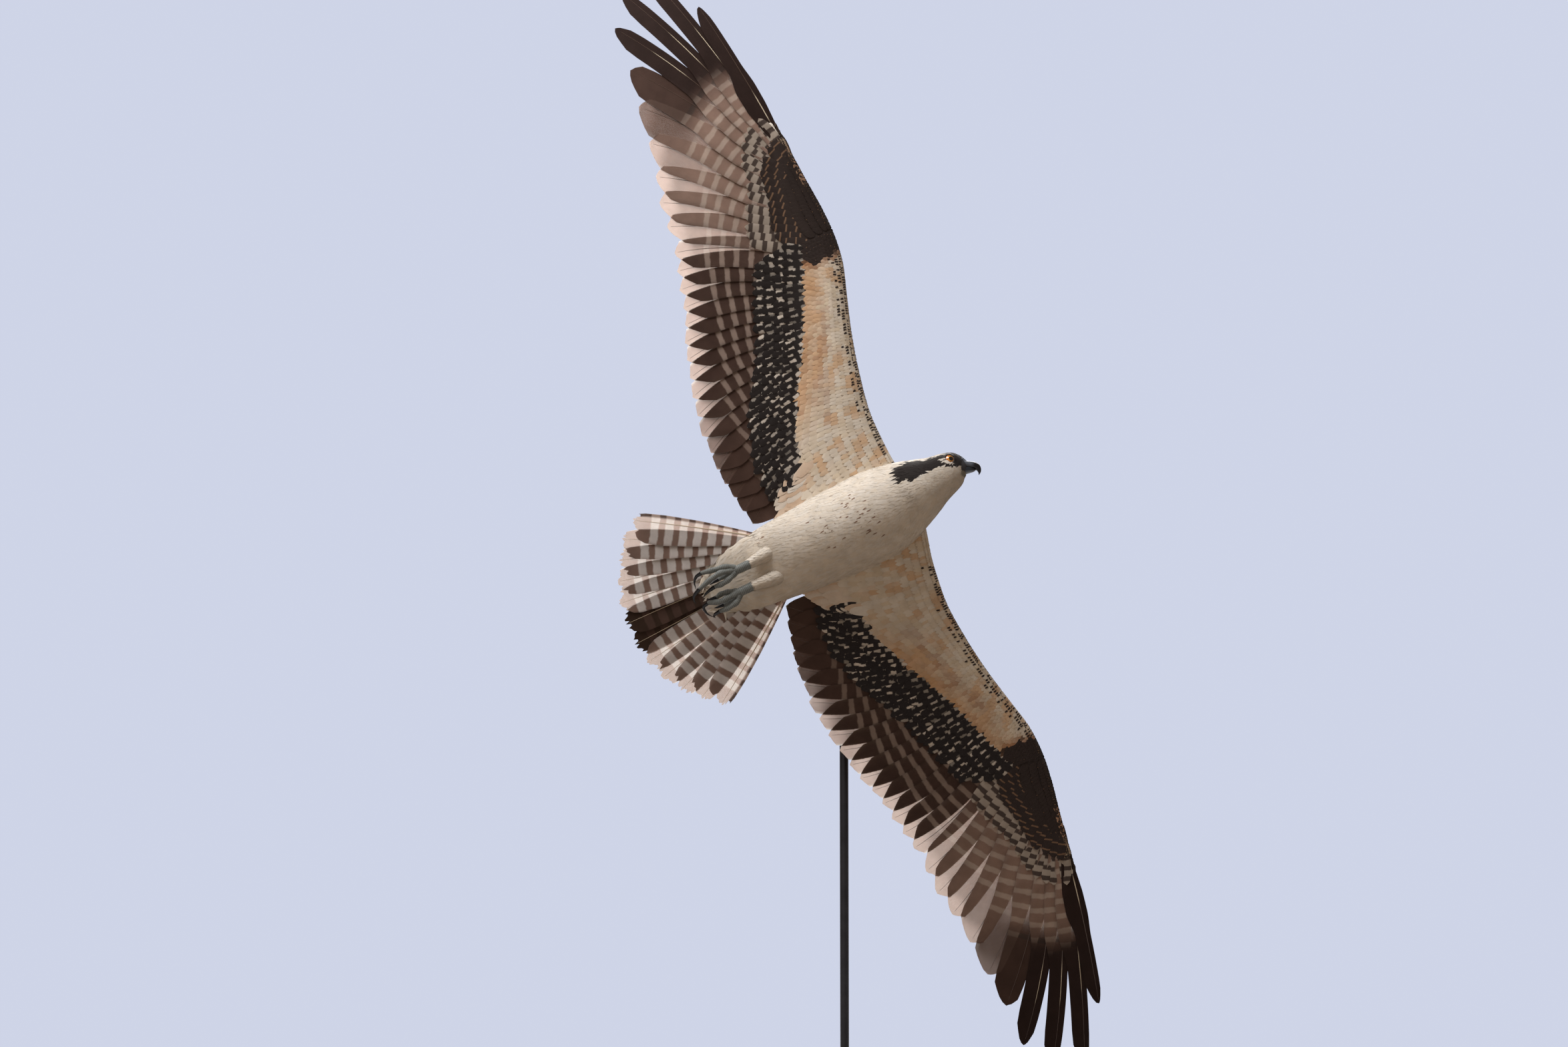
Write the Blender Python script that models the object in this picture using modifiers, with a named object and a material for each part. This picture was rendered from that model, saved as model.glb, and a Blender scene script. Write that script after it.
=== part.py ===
"""Life-size osprey in banked flight, held by a plain display stand. Metres, +Z up.

Torso, wings, tail and legs are modelled in the bird's own frame: +X towards the neck, +Y
towards its left wing and +Z towards its back, with the origin in the middle of the body.
Head and neck are modelled in the side frame: +X right, +Z up and +Y away, about the same
origin. The origin of the whole part is the middle of the stand's underside.
"""
import math

import bmesh
import bpy
import numpy as np
from mathutils import Matrix, Vector

MM = 0.001

# Collections of the finished pieces, and of the forms that shape them
PARTS = "osprey"
CUTTERS = "cutters"

# Pose: the body's place over the floor, its climb as seen along +Y, and its lean
BODY_CENTRE = Vector((0.0, -0.035, 0.800))
CLIMB = math.radians(26.0)
LEAN = math.radians(8.0)

# Gap that touching pieces keep
GAP = 0.3 * MM

# Trunk: place along the body, sideways shift, height, half width, rise of the back, drop
TORSO_STATIONS = np.array([
    (-119, -8, 0, 52, 15, 20),
    (-98, -8, 0, 54, 21, 32),
    (-65, -7, 0, 57, 28, 46),
    (-25, -7, 0, 60, 34, 58),
    (15, -6, 0, 62, 38, 65),
    (50, -7, 0, 62, 40, 66),
    (78, -8, 0, 57, 39, 58),
    (100, -10, 0, 50, 36, 49),
]) * MM
RUMP_STATIONS = np.array([
    (-134, -8, -1.5, 52, 13, 15),
    (-155, -8, -3.5, 49, 9, 8.5),
    (-172, -8, -5, 43, 5.2, 5),
    (-186, -8, -5, 36, 3.2, 3.2),
]) * MM
TORSO_RINGS = 13
BODY_POINTS = 20

# Neck and head in the side frame: silhouette's top point, its bottom point, depth, half width
HEAD_SECTIONS = np.array([
    (88, 101.5, 130, 36.5, -8, 38),
    (104.5, 102.5, 142, 51, -6, 31),
    (120, 107, 154, 64, -5, 25.5),
    (131, 109.8, 158.5, 70.5, -4, 21),
    (142, 110.7, 160, 75.5, -4, 18.5),
    (153, 107, 162, 78.8, -4, 14.3),
    (160, 102.3, 163, 81.0, -4, 10.6),
    (165, 99, 163.8, 84, -4, 8.1),
]) * MM
NECK_ROLLS = np.radians([68, 45, 30, 25, 25, 25, 25, 25])
NECK_BLEND = 2.0
NECK_TWIST_POINTS = 4
NECK_END = 1.35

# Frame of the skull, in the side frame: +X along the bill, +Z to the crown
SKULL_ORIGIN = Vector((132.7, -4.0, 95.2)) * MM
SKULL_ROLL = math.radians(25.0)
SKULL_DIP = math.radians(4.6)
EYE_CENTRE = Vector((4.7, 15.2, -1.6)) * MM
EYE_RADIUS = 8.6 * MM
LID_RADIUS = 7.0 * MM
LID_THICKNESS = 1.25 * MM
BROW_THICKNESS = 2.1 * MM
GAPE = np.array([(31.9, 7.4, -3.6), (24, 12.4, -6.6), (17.5, 16.0, -9.6), (11.5, 18.2, -12.4)]) * MM
GAPE_RADIUS = 0.7 * MM

# Bill in the skull's frame: place along, height, dip in degrees, half height, half width
UPPER_BILL = np.array([
    (32.2, 1.8, 0, 5.0, 7.6),
    (37.0, 1.9, 2, 5.0, 6.4),
    (41.5, 1.6, 10, 4.8, 5.3),
    (45.4, -0.1, 32, 4.2, 4.2),
    (47.6, -3.6, 60, 3.0, 3.0),
    (48.3, -7.0, 80, 1.8, 1.9),
    (48.0, -9.6, 95, 0.9, 1.0),
    (47.6, -11.4, 103, 0.3, 0.3),
])
LOWER_BILL = np.array([
    (32.2, -6.7, 0, 2.8, 7.0),
    (36.0, -6.4, -2, 2.5, 5.9),
    (39.4, -5.9, -6, 1.9, 4.4),
    (41.8, -5.4, -10, 1.1, 2.8),
    (42.8, -5.1, -10, 0.5, 1.4),
])
NOSTRIL = Vector((36.5, 6.3, 3.4)) * MM

# Wings: turn and length of each about the body's centre; left is +1 and right is -1
WING_TURN = math.radians(4.1)
WING_REACH = {1: 0.986, -1: 1.014}
SIDE_NAMES = {1: "left", -1: "right"}

# Wing flesh, from the body outwards: front edge, rear edge, thickness, and rise of the whole wing
LEADING_EDGE = np.array([
    (30, 104), (46, 101), (73, 96), (105, 93), (142, 91.5), (197, 98), (234, 105), (265, 112.5),
    (305, 124), (341, 133.6), (366, 136.5), (387, 137), (421, 134.5), (460, 129), (490, 125),
    (535, 119.5), (567, 115), (650, 104), (747, 86), (830, 66),
]) * MM
FLESH_REAR = np.array([
    (30, -96), (60, -82), (110, -52), (180, -8), (275, 34), (372, 68), (450, 84), (530, 103),
    (567, 112),
]) * MM
FLESH_THICKNESS = np.array([
    (30, 40), (60, 36), (150, 27), (275, 21.5), (372, 18.5), (450, 14), (530, 9.5), (567, 5),
]) * MM
FLESH_CHORD = np.array([0, 0.03, 0.12, 0.3, 0.52, 0.78, 1.0])
FLESH_PROFILE = np.array([0, 0.42, 0.8, 1.0, 0.86, 0.55, 0.16])
FLESH_RINGS = 11
WING_RISE = np.array([
    (0, 2), (50, 7), (150, 17), (260, 29), (375, 38), (480, 41), (600, 44), (720, 55), (830, 76),
]) * MM
CAMBER_DROP = 14 * MM
CAMBER_CREST = 60 * MM
CAMBER_REACH = 180 * MM
CAMBER_STARTS = 160 * MM
WRIST = Vector((372, 112)) * MM
WRIST_SLANT = math.radians(26.0)
WRIST_BLOCK = Vector((0.8, 1.0, 0.6))

# Flight feathers in the wing's frame: primaries from the wrist out, secondaries towards the body
PRIMARY_ROOTS = np.array([
    (392, 88), (412, 92), (432, 96), (450, 99), (467, 102), (482, 105), (496, 108), (509, 111),
    (521, 114), (532, 117),
]) * MM
PRIMARY_TIPS = np.array([
    (479, -73), (513, -69), (550, -63), (596, -54), (645, -46), (699, -40), (762, -38), (803, -10),
    (819, 32), (747, 81),
]) * MM
PRIMARY_WIDTHS = np.array([40, 41, 43, 45, 46, 45, 41, 38, 36, 30]) * MM
FINGER_SHARES = np.array([1, 1, 1, 1, 0.97, 0.86, 0.70, 0.68, 0.68, 0.72])
FINGER_STARTS = 0.50
PRIMARY_OUTER_SHARES = np.array([0.42, 0.41, 0.40, 0.39, 0.37, 0.35, 0.33, 0.32, 0.30, 0.28])
SECONDARY_COUNT = 17
SECONDARY_ROOTS = np.array([(372, 84), (330, 66), (276, 46), (232, 28), (180, 12), (115, -6)]) * MM
SECONDARY_ROOT_AT = (0, 3, 7, 10, 13, 16)
SECONDARY_TIPS = np.array([
    (443, -78), (368, -95), (323, -109), (276, -121), (224, -131), (171, -134), (125, -131), (60, -117),
]) * MM
SECONDARY_TIP_AT = (0, 3, 5, 7, 9, 11, 13, 16)
SECONDARY_WIDTH = 36 * MM
SECONDARY_OUTER_SHARE = 0.45
PRIMARY_STATIONS = np.array([0, 0.12, 0.28, 0.46, 0.60, 0.78, 0.93, 1.0])
PRIMARY_PROFILE = np.array([0.42, 0.68, 0.95, 1.0, 1.0, 0.99, 0.84, 0.34])
SECONDARY_STATIONS = np.array([0, 0.25, 0.55, 0.86, 1.0])
SECONDARY_PROFILE = np.array([0.5, 0.9, 1.0, 0.9, 0.34])
VANE_THICKNESS = 0.75 * MM
SHINGLE_RISE = 1.25 * MM
SHAFT_BEND = 0.04
FINGER_BEND = 0.012
FINGERS = 4
TIP_JITTER = 2.0 * MM
SEED = 11

# Rows of wing coverts: height of the row, depth of its roots, reach of its tips, width, feathers
COVERT_ROWS = (
    {"level": -2.95, "root": 0.52, "reach": 0.40, "width": 25, "last": 27},
    {"level": 2.95, "root": 0.52, "reach": 0.36, "width": 25, "last": 27},
    {"level": -5.25, "root": 0.36, "reach": 0.13, "width": 25, "last": 26},
)
MEDIAN_COVERTS_START = 8
COVERT_STATIONS = np.array([0, 0.72, 1.0])
COVERT_PROFILE = np.array([0.62, 1.0, 0.40])
COVERT_RISE = 0.95 * MM
COVERT_THICKNESS = 0.65 * MM

# Tail: a fan about a point inside the body
TAIL_COUNT = 12
TAIL_APEX = np.array([-46, -7]) * MM
TAIL_HALF_SPREAD = math.radians(33.5)
TAIL_MIDDLE_LENGTH = 284 * MM
TAIL_OUTER_LENGTH = 254 * MM
TAIL_ROOT = 84 * MM
TAIL_WIDTH = 42 * MM
TAIL_HEIGHT = -5 * MM
TAIL_STATIONS = np.array([0, 0.22, 0.5, 0.78, 0.94, 1.0])
TAIL_PROFILE = np.array([0.40, 0.62, 0.86, 1.0, 0.88, 0.42])
TAIL_OUTER_SHARES = (0.50, 0.27)
TAIL_TOP_LIFT = 2.3 * MM
TAIL_COVERT_ROWS = (
    {"level": -3.2, "root": 96, "tip": 176, "width": 34, "count": 7},
    {"level": 5.6, "root": 96, "tip": 168, "width": 34, "count": 7},
)

# Legs: shank from body to ankle, with radii; toes and claws as they lie under the tail
SHANKS = {
    1: np.array([(-90, 11, -17, 14), (-120, 9, -32.2, 10), (-152, 6.5, -36, 7.2)]) * MM,
    -1: np.array([(-86, -27, -17, 14), (-116, -25, -32.2, 10), (-142, -22.5, -36, 7.2)]) * MM,
}
TARSI = {
    1: np.array([(-152.9, 6.5, -36, 6.4), (-162, 6.3, -37.5, 6.2), (-171, 6, -38, 6.0)]) * MM,
    -1: np.array([(-142.9, -22.5, -36, 6.4), (-152, -22.6, -37.5, 6.2), (-161, -23, -38, 6.0)]) * MM,
}
TOES = {
    1: {
        "inner": [(-170, 4, -37), (-180, 0, -37), (-190, -2.5, -36), (-200, -1, -34)],
        "middle": [(-171, 6, -39), (-186, 6, -43), (-198, 5.5, -43), (-214, 0, -38)],
        "outer": [(-169, 9, -38), (-176, 16, -41), (-190, 18.5, -42), (-204, 17.5, -38)],
        "hind": [(-166, 8, -35), (-174, 11, -29), (-184, 12, -26), (-196, 12, -25)],
    },
    -1: {
        "inner": [(-161, -21, -39), (-172, -16.5, -44), (-183, -14.5, -46), (-196, -15.5, -44)],
        "middle": [(-162, -24, -39), (-177, -28.5, -46), (-192, -27.5, -49), (-216, -21.3, -43)],
        "outer": [(-159, -26, -38), (-168, -32.5, -42), (-186, -36.6, -43), (-204, -40.3, -38)],
        "hind": [(-157, -24, -34), (-166, -24, -28), (-176, -23, -25), (-188, -22, -25)],
    },
}
CLAWS = {
    1: {
        "inner": [(-207, -2.5, -32.5), (-213.5, -4, -30)],
        "middle": [(-220.5, 3, -36), (-220, 13, -34), (-214.5, 21, -33)],
        "outer": [(-210, 18.5, -35), (-213.5, 21, -29), (-212.5, 23.5, -22)],
        "hind": [(-203, 11.5, -26), (-208.5, 10.5, -30)],
    },
    -1: {
        "inner": [(-204, -13.8, -43.5), (-211, -11.5, -42), (-215.5, -8.5, -40)],
        "middle": [(-224, -17.4, -41), (-227.8, -11.5, -39.5), (-227.6, -5.1, -39)],
        "outer": [(-211.5, -38.5, -34), (-217.2, -32.6, -31), (-219.4, -22.5, -30.5)],
        "hind": [(-195, -21.5, -26.5), (-200.5, -20.5, -31)],
    },
}
TOE_ROOT_RADIUS = 4.6 * MM
TOE_END_RADIUS = 3.3 * MM
TOE_PAD = 0.09
CLAW_RADIUS = 2.6 * MM
TOE_POINTS = 8

# Stand
BASE_RADIUS = 0.170
BASE_THICKNESS = 0.012
BASE_BEVEL = 0.0015
BASE_POINTS = 48
ROD_RADIUS = 0.006
ROD_POINTS = 14
ROD_REACH = 0.075
ROD_BEND = 0.040
ROD_SIDE = -0.004

# Edges that turn by more than this are shaded sharp
SHARP_ANGLE = math.radians(40.0)

MATERIALS = {
    "white_plumage": ((0.82, 0.76, 0.68), 0.85, 0.0),
    "head_plumage": ((0.62, 0.56, 0.50), 0.85, 0.0),
    "wing_plumage": ((0.28, 0.21, 0.18), 0.80, 0.0),
    "tail_plumage": ((0.38, 0.30, 0.25), 0.80, 0.0),
    "bill": ((0.06, 0.065, 0.075), 0.35, 0.0),
    "eye": ((0.75, 0.28, 0.05), 0.10, 0.0),
    "feet": ((0.40, 0.46, 0.45), 0.60, 0.0),
    "claw": ((0.02, 0.02, 0.022), 0.30, 0.0),
    "stand": ((0.03, 0.03, 0.033), 0.45, 1.0),
}


def clear_scene():
    """Removes every object of the startup scene and makes a collection for parts and cutters."""
    for obj in list(bpy.data.objects):
        bpy.data.objects.remove(obj)
    for name in (PARTS, CUTTERS):
        bpy.context.scene.collection.children.link(bpy.data.collections.new(name))


def make_materials():
    """The Principled materials by name."""
    made = {}
    for name, (colour, roughness, metallic) in MATERIALS.items():
        material = bpy.data.materials.new(name)
        material.use_nodes = True
        shader = material.node_tree.nodes["Principled BSDF"]
        shader.inputs["Base Color"].default_value = (*colour, 1.0)
        shader.inputs["Roughness"].default_value = roughness
        shader.inputs["Metallic"].default_value = metallic
        made[name] = material
    return made


def smooth_curve(points, at, samples):
    """Values at the samples of a smooth curve through points, which stand at rising places."""
    points = np.asarray(points, float)
    at = np.asarray(at, float)
    samples = np.atleast_1d(np.asarray(samples, float))
    slopes = np.gradient(points, at, axis=0)
    i = np.clip(np.searchsorted(at, samples) - 1, 0, len(at) - 2)
    span = at[i + 1] - at[i]
    t = np.clip((samples - at[i]) / span, 0.0, 1.0)
    if points.ndim > 1:
        t, span = t[:, None], span[:, None]
    return (
        (2 * t**3 - 3 * t**2 + 1) * points[i]
        + (t**3 - 2 * t**2 + t) * span * slopes[i]
        + (3 * t**2 - 2 * t**3) * points[i + 1]
        + (t**3 - t**2) * span * slopes[i + 1]
    )


def along(table, samples):
    """Second column of a two-column table, read smoothly at values of its first column."""
    return smooth_curve(table[:, 1], table[:, 0], samples)


def point_outwards(shape):
    """Turns every face of a closed bmesh to point out of it."""
    bmesh.ops.recalc_face_normals(shape, faces=shape.faces)
    if shape.calc_volume(signed=True) < 0:
        bmesh.ops.reverse_faces(shape, faces=shape.faces)


def add_shape(shape):
    """One closed object of this bmesh, facing out, with no face of more than four sides."""
    bmesh.ops.triangulate(shape, faces=[face for face in shape.faces if len(face.verts) > 4])
    point_outwards(shape)
    mesh = bpy.data.meshes.new("piece")
    shape.to_mesh(mesh)
    shape.free()
    obj = bpy.data.objects.new("piece", mesh)
    bpy.data.collections[PARTS].objects.link(obj)
    return obj


def add_mesh(vertices, faces):
    """One closed mesh object with these vertices and faces."""
    mesh = bpy.data.meshes.new("form")
    mesh.from_pydata([tuple(v) for v in vertices], [], faces)
    shape = bmesh.new()
    shape.from_mesh(mesh)
    bpy.data.meshes.remove(mesh)
    return add_shape(shape)


def loft(rings):
    """A closed solid through rings of equally many points, with a flat face at each end."""
    rings = np.asarray(rings, float)
    count, around = rings.shape[:2]
    faces = []
    for k in range(count - 1):
        for j in range(around):
            a, b = k * around + j, k * around + (j + 1) % around
            faces.extend([(a, b, b + around), (a, b + around, a + around)])
    faces.append(tuple(range(around)))
    faces.append(tuple(range(count * around - 1, (count - 1) * around - 1, -1)))
    return add_mesh(rings.reshape(-1, 3), faces)


def ring_angles(points):
    """Equal angles around a ring."""
    return np.linspace(0, 2 * math.pi, points, endpoint=False)


def tube(centres, radii, points, ring=False):
    """A tube with filled ends along a path, or a ring where the path closes on itself."""
    curve = bpy.data.curves.new("path", "CURVE")
    curve.dimensions = "3D"
    curve.bevel_depth = 1.0
    curve.bevel_resolution = points // 2 - 2
    curve.use_fill_caps = not ring
    spline = curve.splines.new("POLY")
    spline.points.add(len(centres) - 1)
    spline.use_cyclic_u = ring
    for point, centre, radius in zip(spline.points, centres, radii):
        point.co = (*centre, 1.0)
        point.radius = radius
    path = bpy.data.objects.new("path", curve)
    bpy.data.collections[CUTTERS].objects.link(path)
    graph = bpy.context.evaluated_depsgraph_get()
    mesh = bpy.data.meshes.new_from_object(path.evaluated_get(graph))
    bpy.data.objects.remove(path)
    shape = bmesh.new()
    shape.from_mesh(mesh)
    bmesh.ops.remove_doubles(shape, verts=shape.verts, dist=1e-6)
    return add_shape(shape)


def sphere(centre, radius, segments, rings, scale=(1, 1, 1)):
    """A closed ball, or an ellipsoid where the scale differs by axis."""
    shape = bmesh.new()
    matrix = Matrix.LocRotScale(Vector(centre), None, Vector(scale))
    bmesh.ops.create_uvsphere(shape, u_segments=segments, v_segments=rings, radius=radius, matrix=matrix)
    return add_shape(shape)


def evaluated(obj):
    """The object's mesh with its modifiers applied."""
    graph = bpy.context.evaluated_depsgraph_get()
    mesh = bpy.data.meshes.new_from_object(obj.evaluated_get(graph))
    obj.modifiers.clear()
    return mesh


def apply_boolean(obj, operation, others):
    """Applies one exact Boolean of the object with the others, which are then removed."""
    for other in others:
        bpy.data.collections[PARTS].objects.unlink(other)
        bpy.data.collections[CUTTERS].objects.link(other)
    modifier = obj.modifiers.new("boolean", "BOOLEAN")
    modifier.operation = operation
    modifier.operand_type = "COLLECTION"
    modifier.solver = "EXACT"
    modifier.collection = bpy.data.collections[CUTTERS]
    obj.data = evaluated(obj)
    for other in others:
        bpy.data.objects.remove(other)
    keep_largest(obj)


def keep_largest(obj):
    """Keeps only the closed surface of the object that holds the largest volume."""
    shape = bmesh.new()
    shape.from_mesh(obj.data)
    bmesh.ops.triangulate(shape, faces=shape.faces)
    bmesh.ops.dissolve_degenerate(shape, edges=shape.edges, dist=1e-6)
    unseen = set(shape.faces)
    islands = []
    while unseen:
        island = {unseen.pop()}
        edge = list(island)
        while edge:
            near = {other for e in edge.pop().edges for other in e.link_faces} & unseen
            unseen -= near
            island |= near
            edge.extend(near)
        volume = sum(f.verts[0].co.dot(f.verts[1].co.cross(f.verts[2].co)) for f in island)
        islands.append((volume, island))
    islands.sort(key=lambda pair: pair[0])
    dropped = [face for _, island in islands[:-1] for face in island]
    bmesh.ops.delete(shape, geom=dropped, context="FACES")
    shape.to_mesh(obj.data)
    shape.free()


def place(obj, name, material, matrix):
    """Names the node, gives it its material and moves its mesh to its place in the world."""
    obj.name = obj.data.name = name
    obj.data.materials.clear()
    obj.data.materials.append(material)
    obj.data.transform(matrix)
    shape = bmesh.new()
    shape.from_mesh(obj.data)
    point_outwards(shape)
    shape.to_mesh(obj.data)
    shape.free()
    obj.data.shade_smooth()
    obj.data.set_sharp_from_angle(angle=SHARP_ANGLE)


def side_frame():
    """Matrix from the side frame to the world."""
    return Matrix.Translation(BODY_CENTRE) @ Matrix.Rotation(LEAN, 4, "X")


def bird_frame():
    """Matrix from the bird's own frame to the side frame."""
    cos, sin = math.cos(CLIMB), math.sin(CLIMB)
    return Matrix(((cos, sin, 0, 0), (0, 0, 1, 0), (sin, -cos, 0, 0), (0, 0, 0, 1)))


def skull_frame():
    """Matrix from the skull's frame to the side frame."""
    forward = Vector((math.cos(SKULL_DIP), 0, -math.sin(SKULL_DIP)))
    up = Vector((math.sin(SKULL_DIP), 0, math.cos(SKULL_DIP)))
    crown = up * math.cos(SKULL_ROLL) + Vector((0, 1, 0)) * math.sin(SKULL_ROLL)
    left = crown.cross(forward)
    turn = Matrix((forward, left, crown)).transposed().to_4x4()
    return Matrix.Translation(SKULL_ORIGIN) @ turn


def body_ring(station, grow):
    """One ring of the trunk, in the bird's frame."""
    x, shift, middle, half_width, rise, drop = station
    angle = ring_angles(BODY_POINTS)
    height = np.where(np.sin(angle) > 0, rise + grow, drop + grow) * np.sin(angle)
    return np.stack([
        np.full(BODY_POINTS, x), shift + (half_width + grow) * np.cos(angle), middle + height,
    ], axis=1)


def torso(grow=0.0):
    """The trunk from the rump to the base of the neck, made larger all round by grow."""
    places = np.linspace(TORSO_STATIONS[0, 0], TORSO_STATIONS[-1, 0], TORSO_RINGS)
    stations = smooth_curve(TORSO_STATIONS, TORSO_STATIONS[:, 0], places)
    stations[0, 0] -= grow
    stations[-1, 0] += grow
    return loft([body_ring(station, grow) for station in stations])


def head_rings(samples, grow=0.0):
    """Rings of neck and head at these section numbers, made larger by grow, in the side frame."""
    at = np.arange(len(HEAD_SECTIONS))
    rows = smooth_curve(HEAD_SECTIONS, at, samples)
    rolls = smooth_curve(NECK_ROLLS, at, samples)
    skull = np.array(skull_frame())
    ahead, skull_left, skull_up = skull[:3, 0], skull[:3, 1], skull[:3, 2]
    twist = NECK_TWIST_POINTS * 2 * math.pi / BODY_POINTS
    rings = []
    for sample, (top_x, top_z, low_x, low_z, depth, half_width), roll in zip(samples, rows, rolls):
        centre = np.array([(top_x + low_x) / 2, depth, (top_z + low_z) / 2])
        across = np.array([top_x - low_x, 0, top_z - low_z])
        half = np.linalg.norm(across) / 2
        across /= 2 * half
        share = min(sample / NECK_BLEND, 1.0)
        middle_depth = centre[1] - (centre - skull[:3, 3]) @ skull_left / skull_left[1]
        centre[1] += (middle_depth - centre[1]) * share
        neck_up = across * math.cos(roll) + np.array([0, 1, 0]) * math.sin(roll)
        neck_left = np.cross(neck_up, [across[2], 0, -across[0]])
        plane = np.stack([ahead, skull_up], axis=1)[[0, 2]]
        run, rise = np.linalg.solve(plane, across[[0, 2]])
        head_up = ahead * run + skull_up * rise
        up = neck_up + (head_up / np.linalg.norm(head_up) - neck_up) * share
        left = neck_left + (skull_left - neck_left) * share
        up /= np.linalg.norm(up)
        left /= np.linalg.norm(left)
        half_height = math.sqrt(half**2 - (half_width * (left @ across))**2) / (up @ across)
        shift = twist * (roll - math.pi / 2) / (math.pi / 2 - SKULL_ROLL)
        angle = ring_angles(BODY_POINTS)[:, None] + shift
        rings.append(centre + (half_width + grow) * np.cos(angle) * left
                     + (half_height + grow) * np.sin(angle) * up)
    return rings


def neck(grow=0.0):
    """The neck, from the torso's front face to the back of the head, made larger by grow."""
    front = TORSO_STATIONS[-1] + [GAP, 0, 0, 0, 0, 0]
    behind = TORSO_STATIONS[-1] - [grow, 0, 0, 0, 0, 0]
    to_side = np.array(bird_frame())[:3, :3]
    rings = [body_ring(station, grow) @ to_side.T for station in (behind, front)[grow == 0:]]
    rings.extend(head_rings(np.linspace(0, NECK_END, 5), grow))
    return loft(rings)


def head():
    """The head, with lids round its eye sockets and the line of the gape."""
    rings = head_rings(np.linspace(NECK_END, len(HEAD_SECTIONS) - 1, 12))
    ahead = rings[1].mean(0) - rings[0].mean(0)
    face = np.cross(rings[0][5] - rings[0][0], rings[0][10] - rings[0][0])
    face *= np.sign(face @ ahead) / np.linalg.norm(face)
    rings[0] = rings[0] + face * GAP
    skull = loft(rings)
    frame = skull_frame()
    lids = []
    for side in SIDE_NAMES:
        angle = ring_angles(18)
        thickness = LID_THICKNESS + (BROW_THICKNESS - LID_THICKNESS) * np.clip(np.sin(angle), 0, 1)
        lids.append(lid(side, angle, thickness, frame))
    apply_boolean(skull, "UNION", lids)
    cutters = []
    for side in SIDE_NAMES:
        centre = frame @ Vector((EYE_CENTRE.x, EYE_CENTRE.y * side, EYE_CENTRE.z))
        cutters.append(sphere(centre, EYE_RADIUS + GAP, 16, 10))
        path = smooth_curve(GAPE * (1, side, 1), np.arange(len(GAPE)), np.linspace(0, 3, 5))
        path = [frame @ Vector(point) for point in path]
        cutters.append(tube(path, np.full(5, GAPE_RADIUS), 6))
    apply_boolean(skull, "DIFFERENCE", cutters)
    return skull


def lid(side, angle, thickness, frame):
    """A closed ring of skin round one eye, in the side frame."""
    outward = EYE_CENTRE.y + math.sqrt(EYE_RADIUS**2 - LID_RADIUS**2)
    middle = np.stack([LID_RADIUS * np.cos(angle), np.zeros(len(angle)), LID_RADIUS * np.sin(angle)], axis=1)
    path = (middle + [EYE_CENTRE.x, outward, EYE_CENTRE.z]) * (1, side, 1)
    return tube([frame @ Vector(point) for point in path], thickness, 6, ring=True)


def bill(stations, points=14):
    """One half of the bill, with squarer edges along the mouth, in the skull's frame."""
    rings = []
    flat_below = stations is UPPER_BILL
    for x, z, dip, half_height, half_width in stations:
        angle = ring_angles(points)
        up = np.sin(angle)
        flat = up < 0 if flat_below else up > 0
        up = np.where(flat, np.sign(up) * np.abs(up)**0.5, up)
        across = np.sign(np.cos(angle)) * np.abs(np.cos(angle))**0.85
        dip = math.radians(dip)
        rings.append(np.stack([
            x + half_height * up * math.sin(dip), half_width * across,
            z + half_height * up * math.cos(dip),
        ], axis=1) * MM)
    return loft(rings)


def wing_middle(outward, forward):
    """Height of the wing's middle surface over its frame's plane."""
    behind = along(LEADING_EDGE, outward) - CAMBER_CREST - forward
    fade = np.clip(outward / CAMBER_STARTS, 0.1, 1.0)
    return along(WING_RISE, outward) - CAMBER_DROP * fade * (behind / CAMBER_REACH)**2


def wing_to_bird(points, side):
    """Points of a wing (outward, forward, height) in the bird's frame."""
    points = np.asarray(points, float)
    x, y = points[..., 1], side * points[..., 0] * WING_REACH[side]
    cos, sin = math.cos(WING_TURN), math.sin(WING_TURN)
    return np.stack([x * cos - y * sin, x * sin + y * cos, points[..., 2]], axis=-1)


def wing_flesh(side):
    """Arm and hand without feathers, thickest near the front edge."""
    rings = []
    for outward in np.linspace(LEADING_EDGE[0, 0], FLESH_REAR[-1, 0], FLESH_RINGS):
        front = along(LEADING_EDGE, outward)[0]
        rear = along(FLESH_REAR, outward)[0]
        forward = front + (rear - front) * FLESH_CHORD
        outwards = np.full(len(forward), outward)
        middle = wing_middle(outwards, forward)
        half = along(FLESH_THICKNESS, outward)[0] / 2 * FLESH_PROFILE
        upper = np.stack([outwards, forward, middle + half], axis=1)
        lower = np.stack([outwards, forward, middle - half], axis=1)
        rings.append(wing_to_bird(np.concatenate([upper, lower[:0:-1]]), side))
    return loft(rings)


def plate(rings):
    """A thin closed vane through rows of outer top, inner top, inner bottom and outer bottom."""
    rings = np.asarray(rings)
    count = len(rings)
    faces = [(0, 3, 2), (0, 2, 1)]
    for a in range(0, 4 * (count - 1), 4):
        b = a + 4
        faces.extend([
            (a, a + 1, b + 1), (a, b + 1, b), (a + 3, b + 2, a + 2), (a + 3, b + 3, b + 2),
            (a + 1, a + 2, b + 2), (a + 1, b + 2, b + 1), (a, b, b + 3), (a, b + 3, a + 3),
        ])
    end = 4 * (count - 1)
    faces.extend([(end, end + 1, end + 2), (end, end + 2, end + 3)])
    return add_mesh(rings.reshape(-1, 3), faces)


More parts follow.
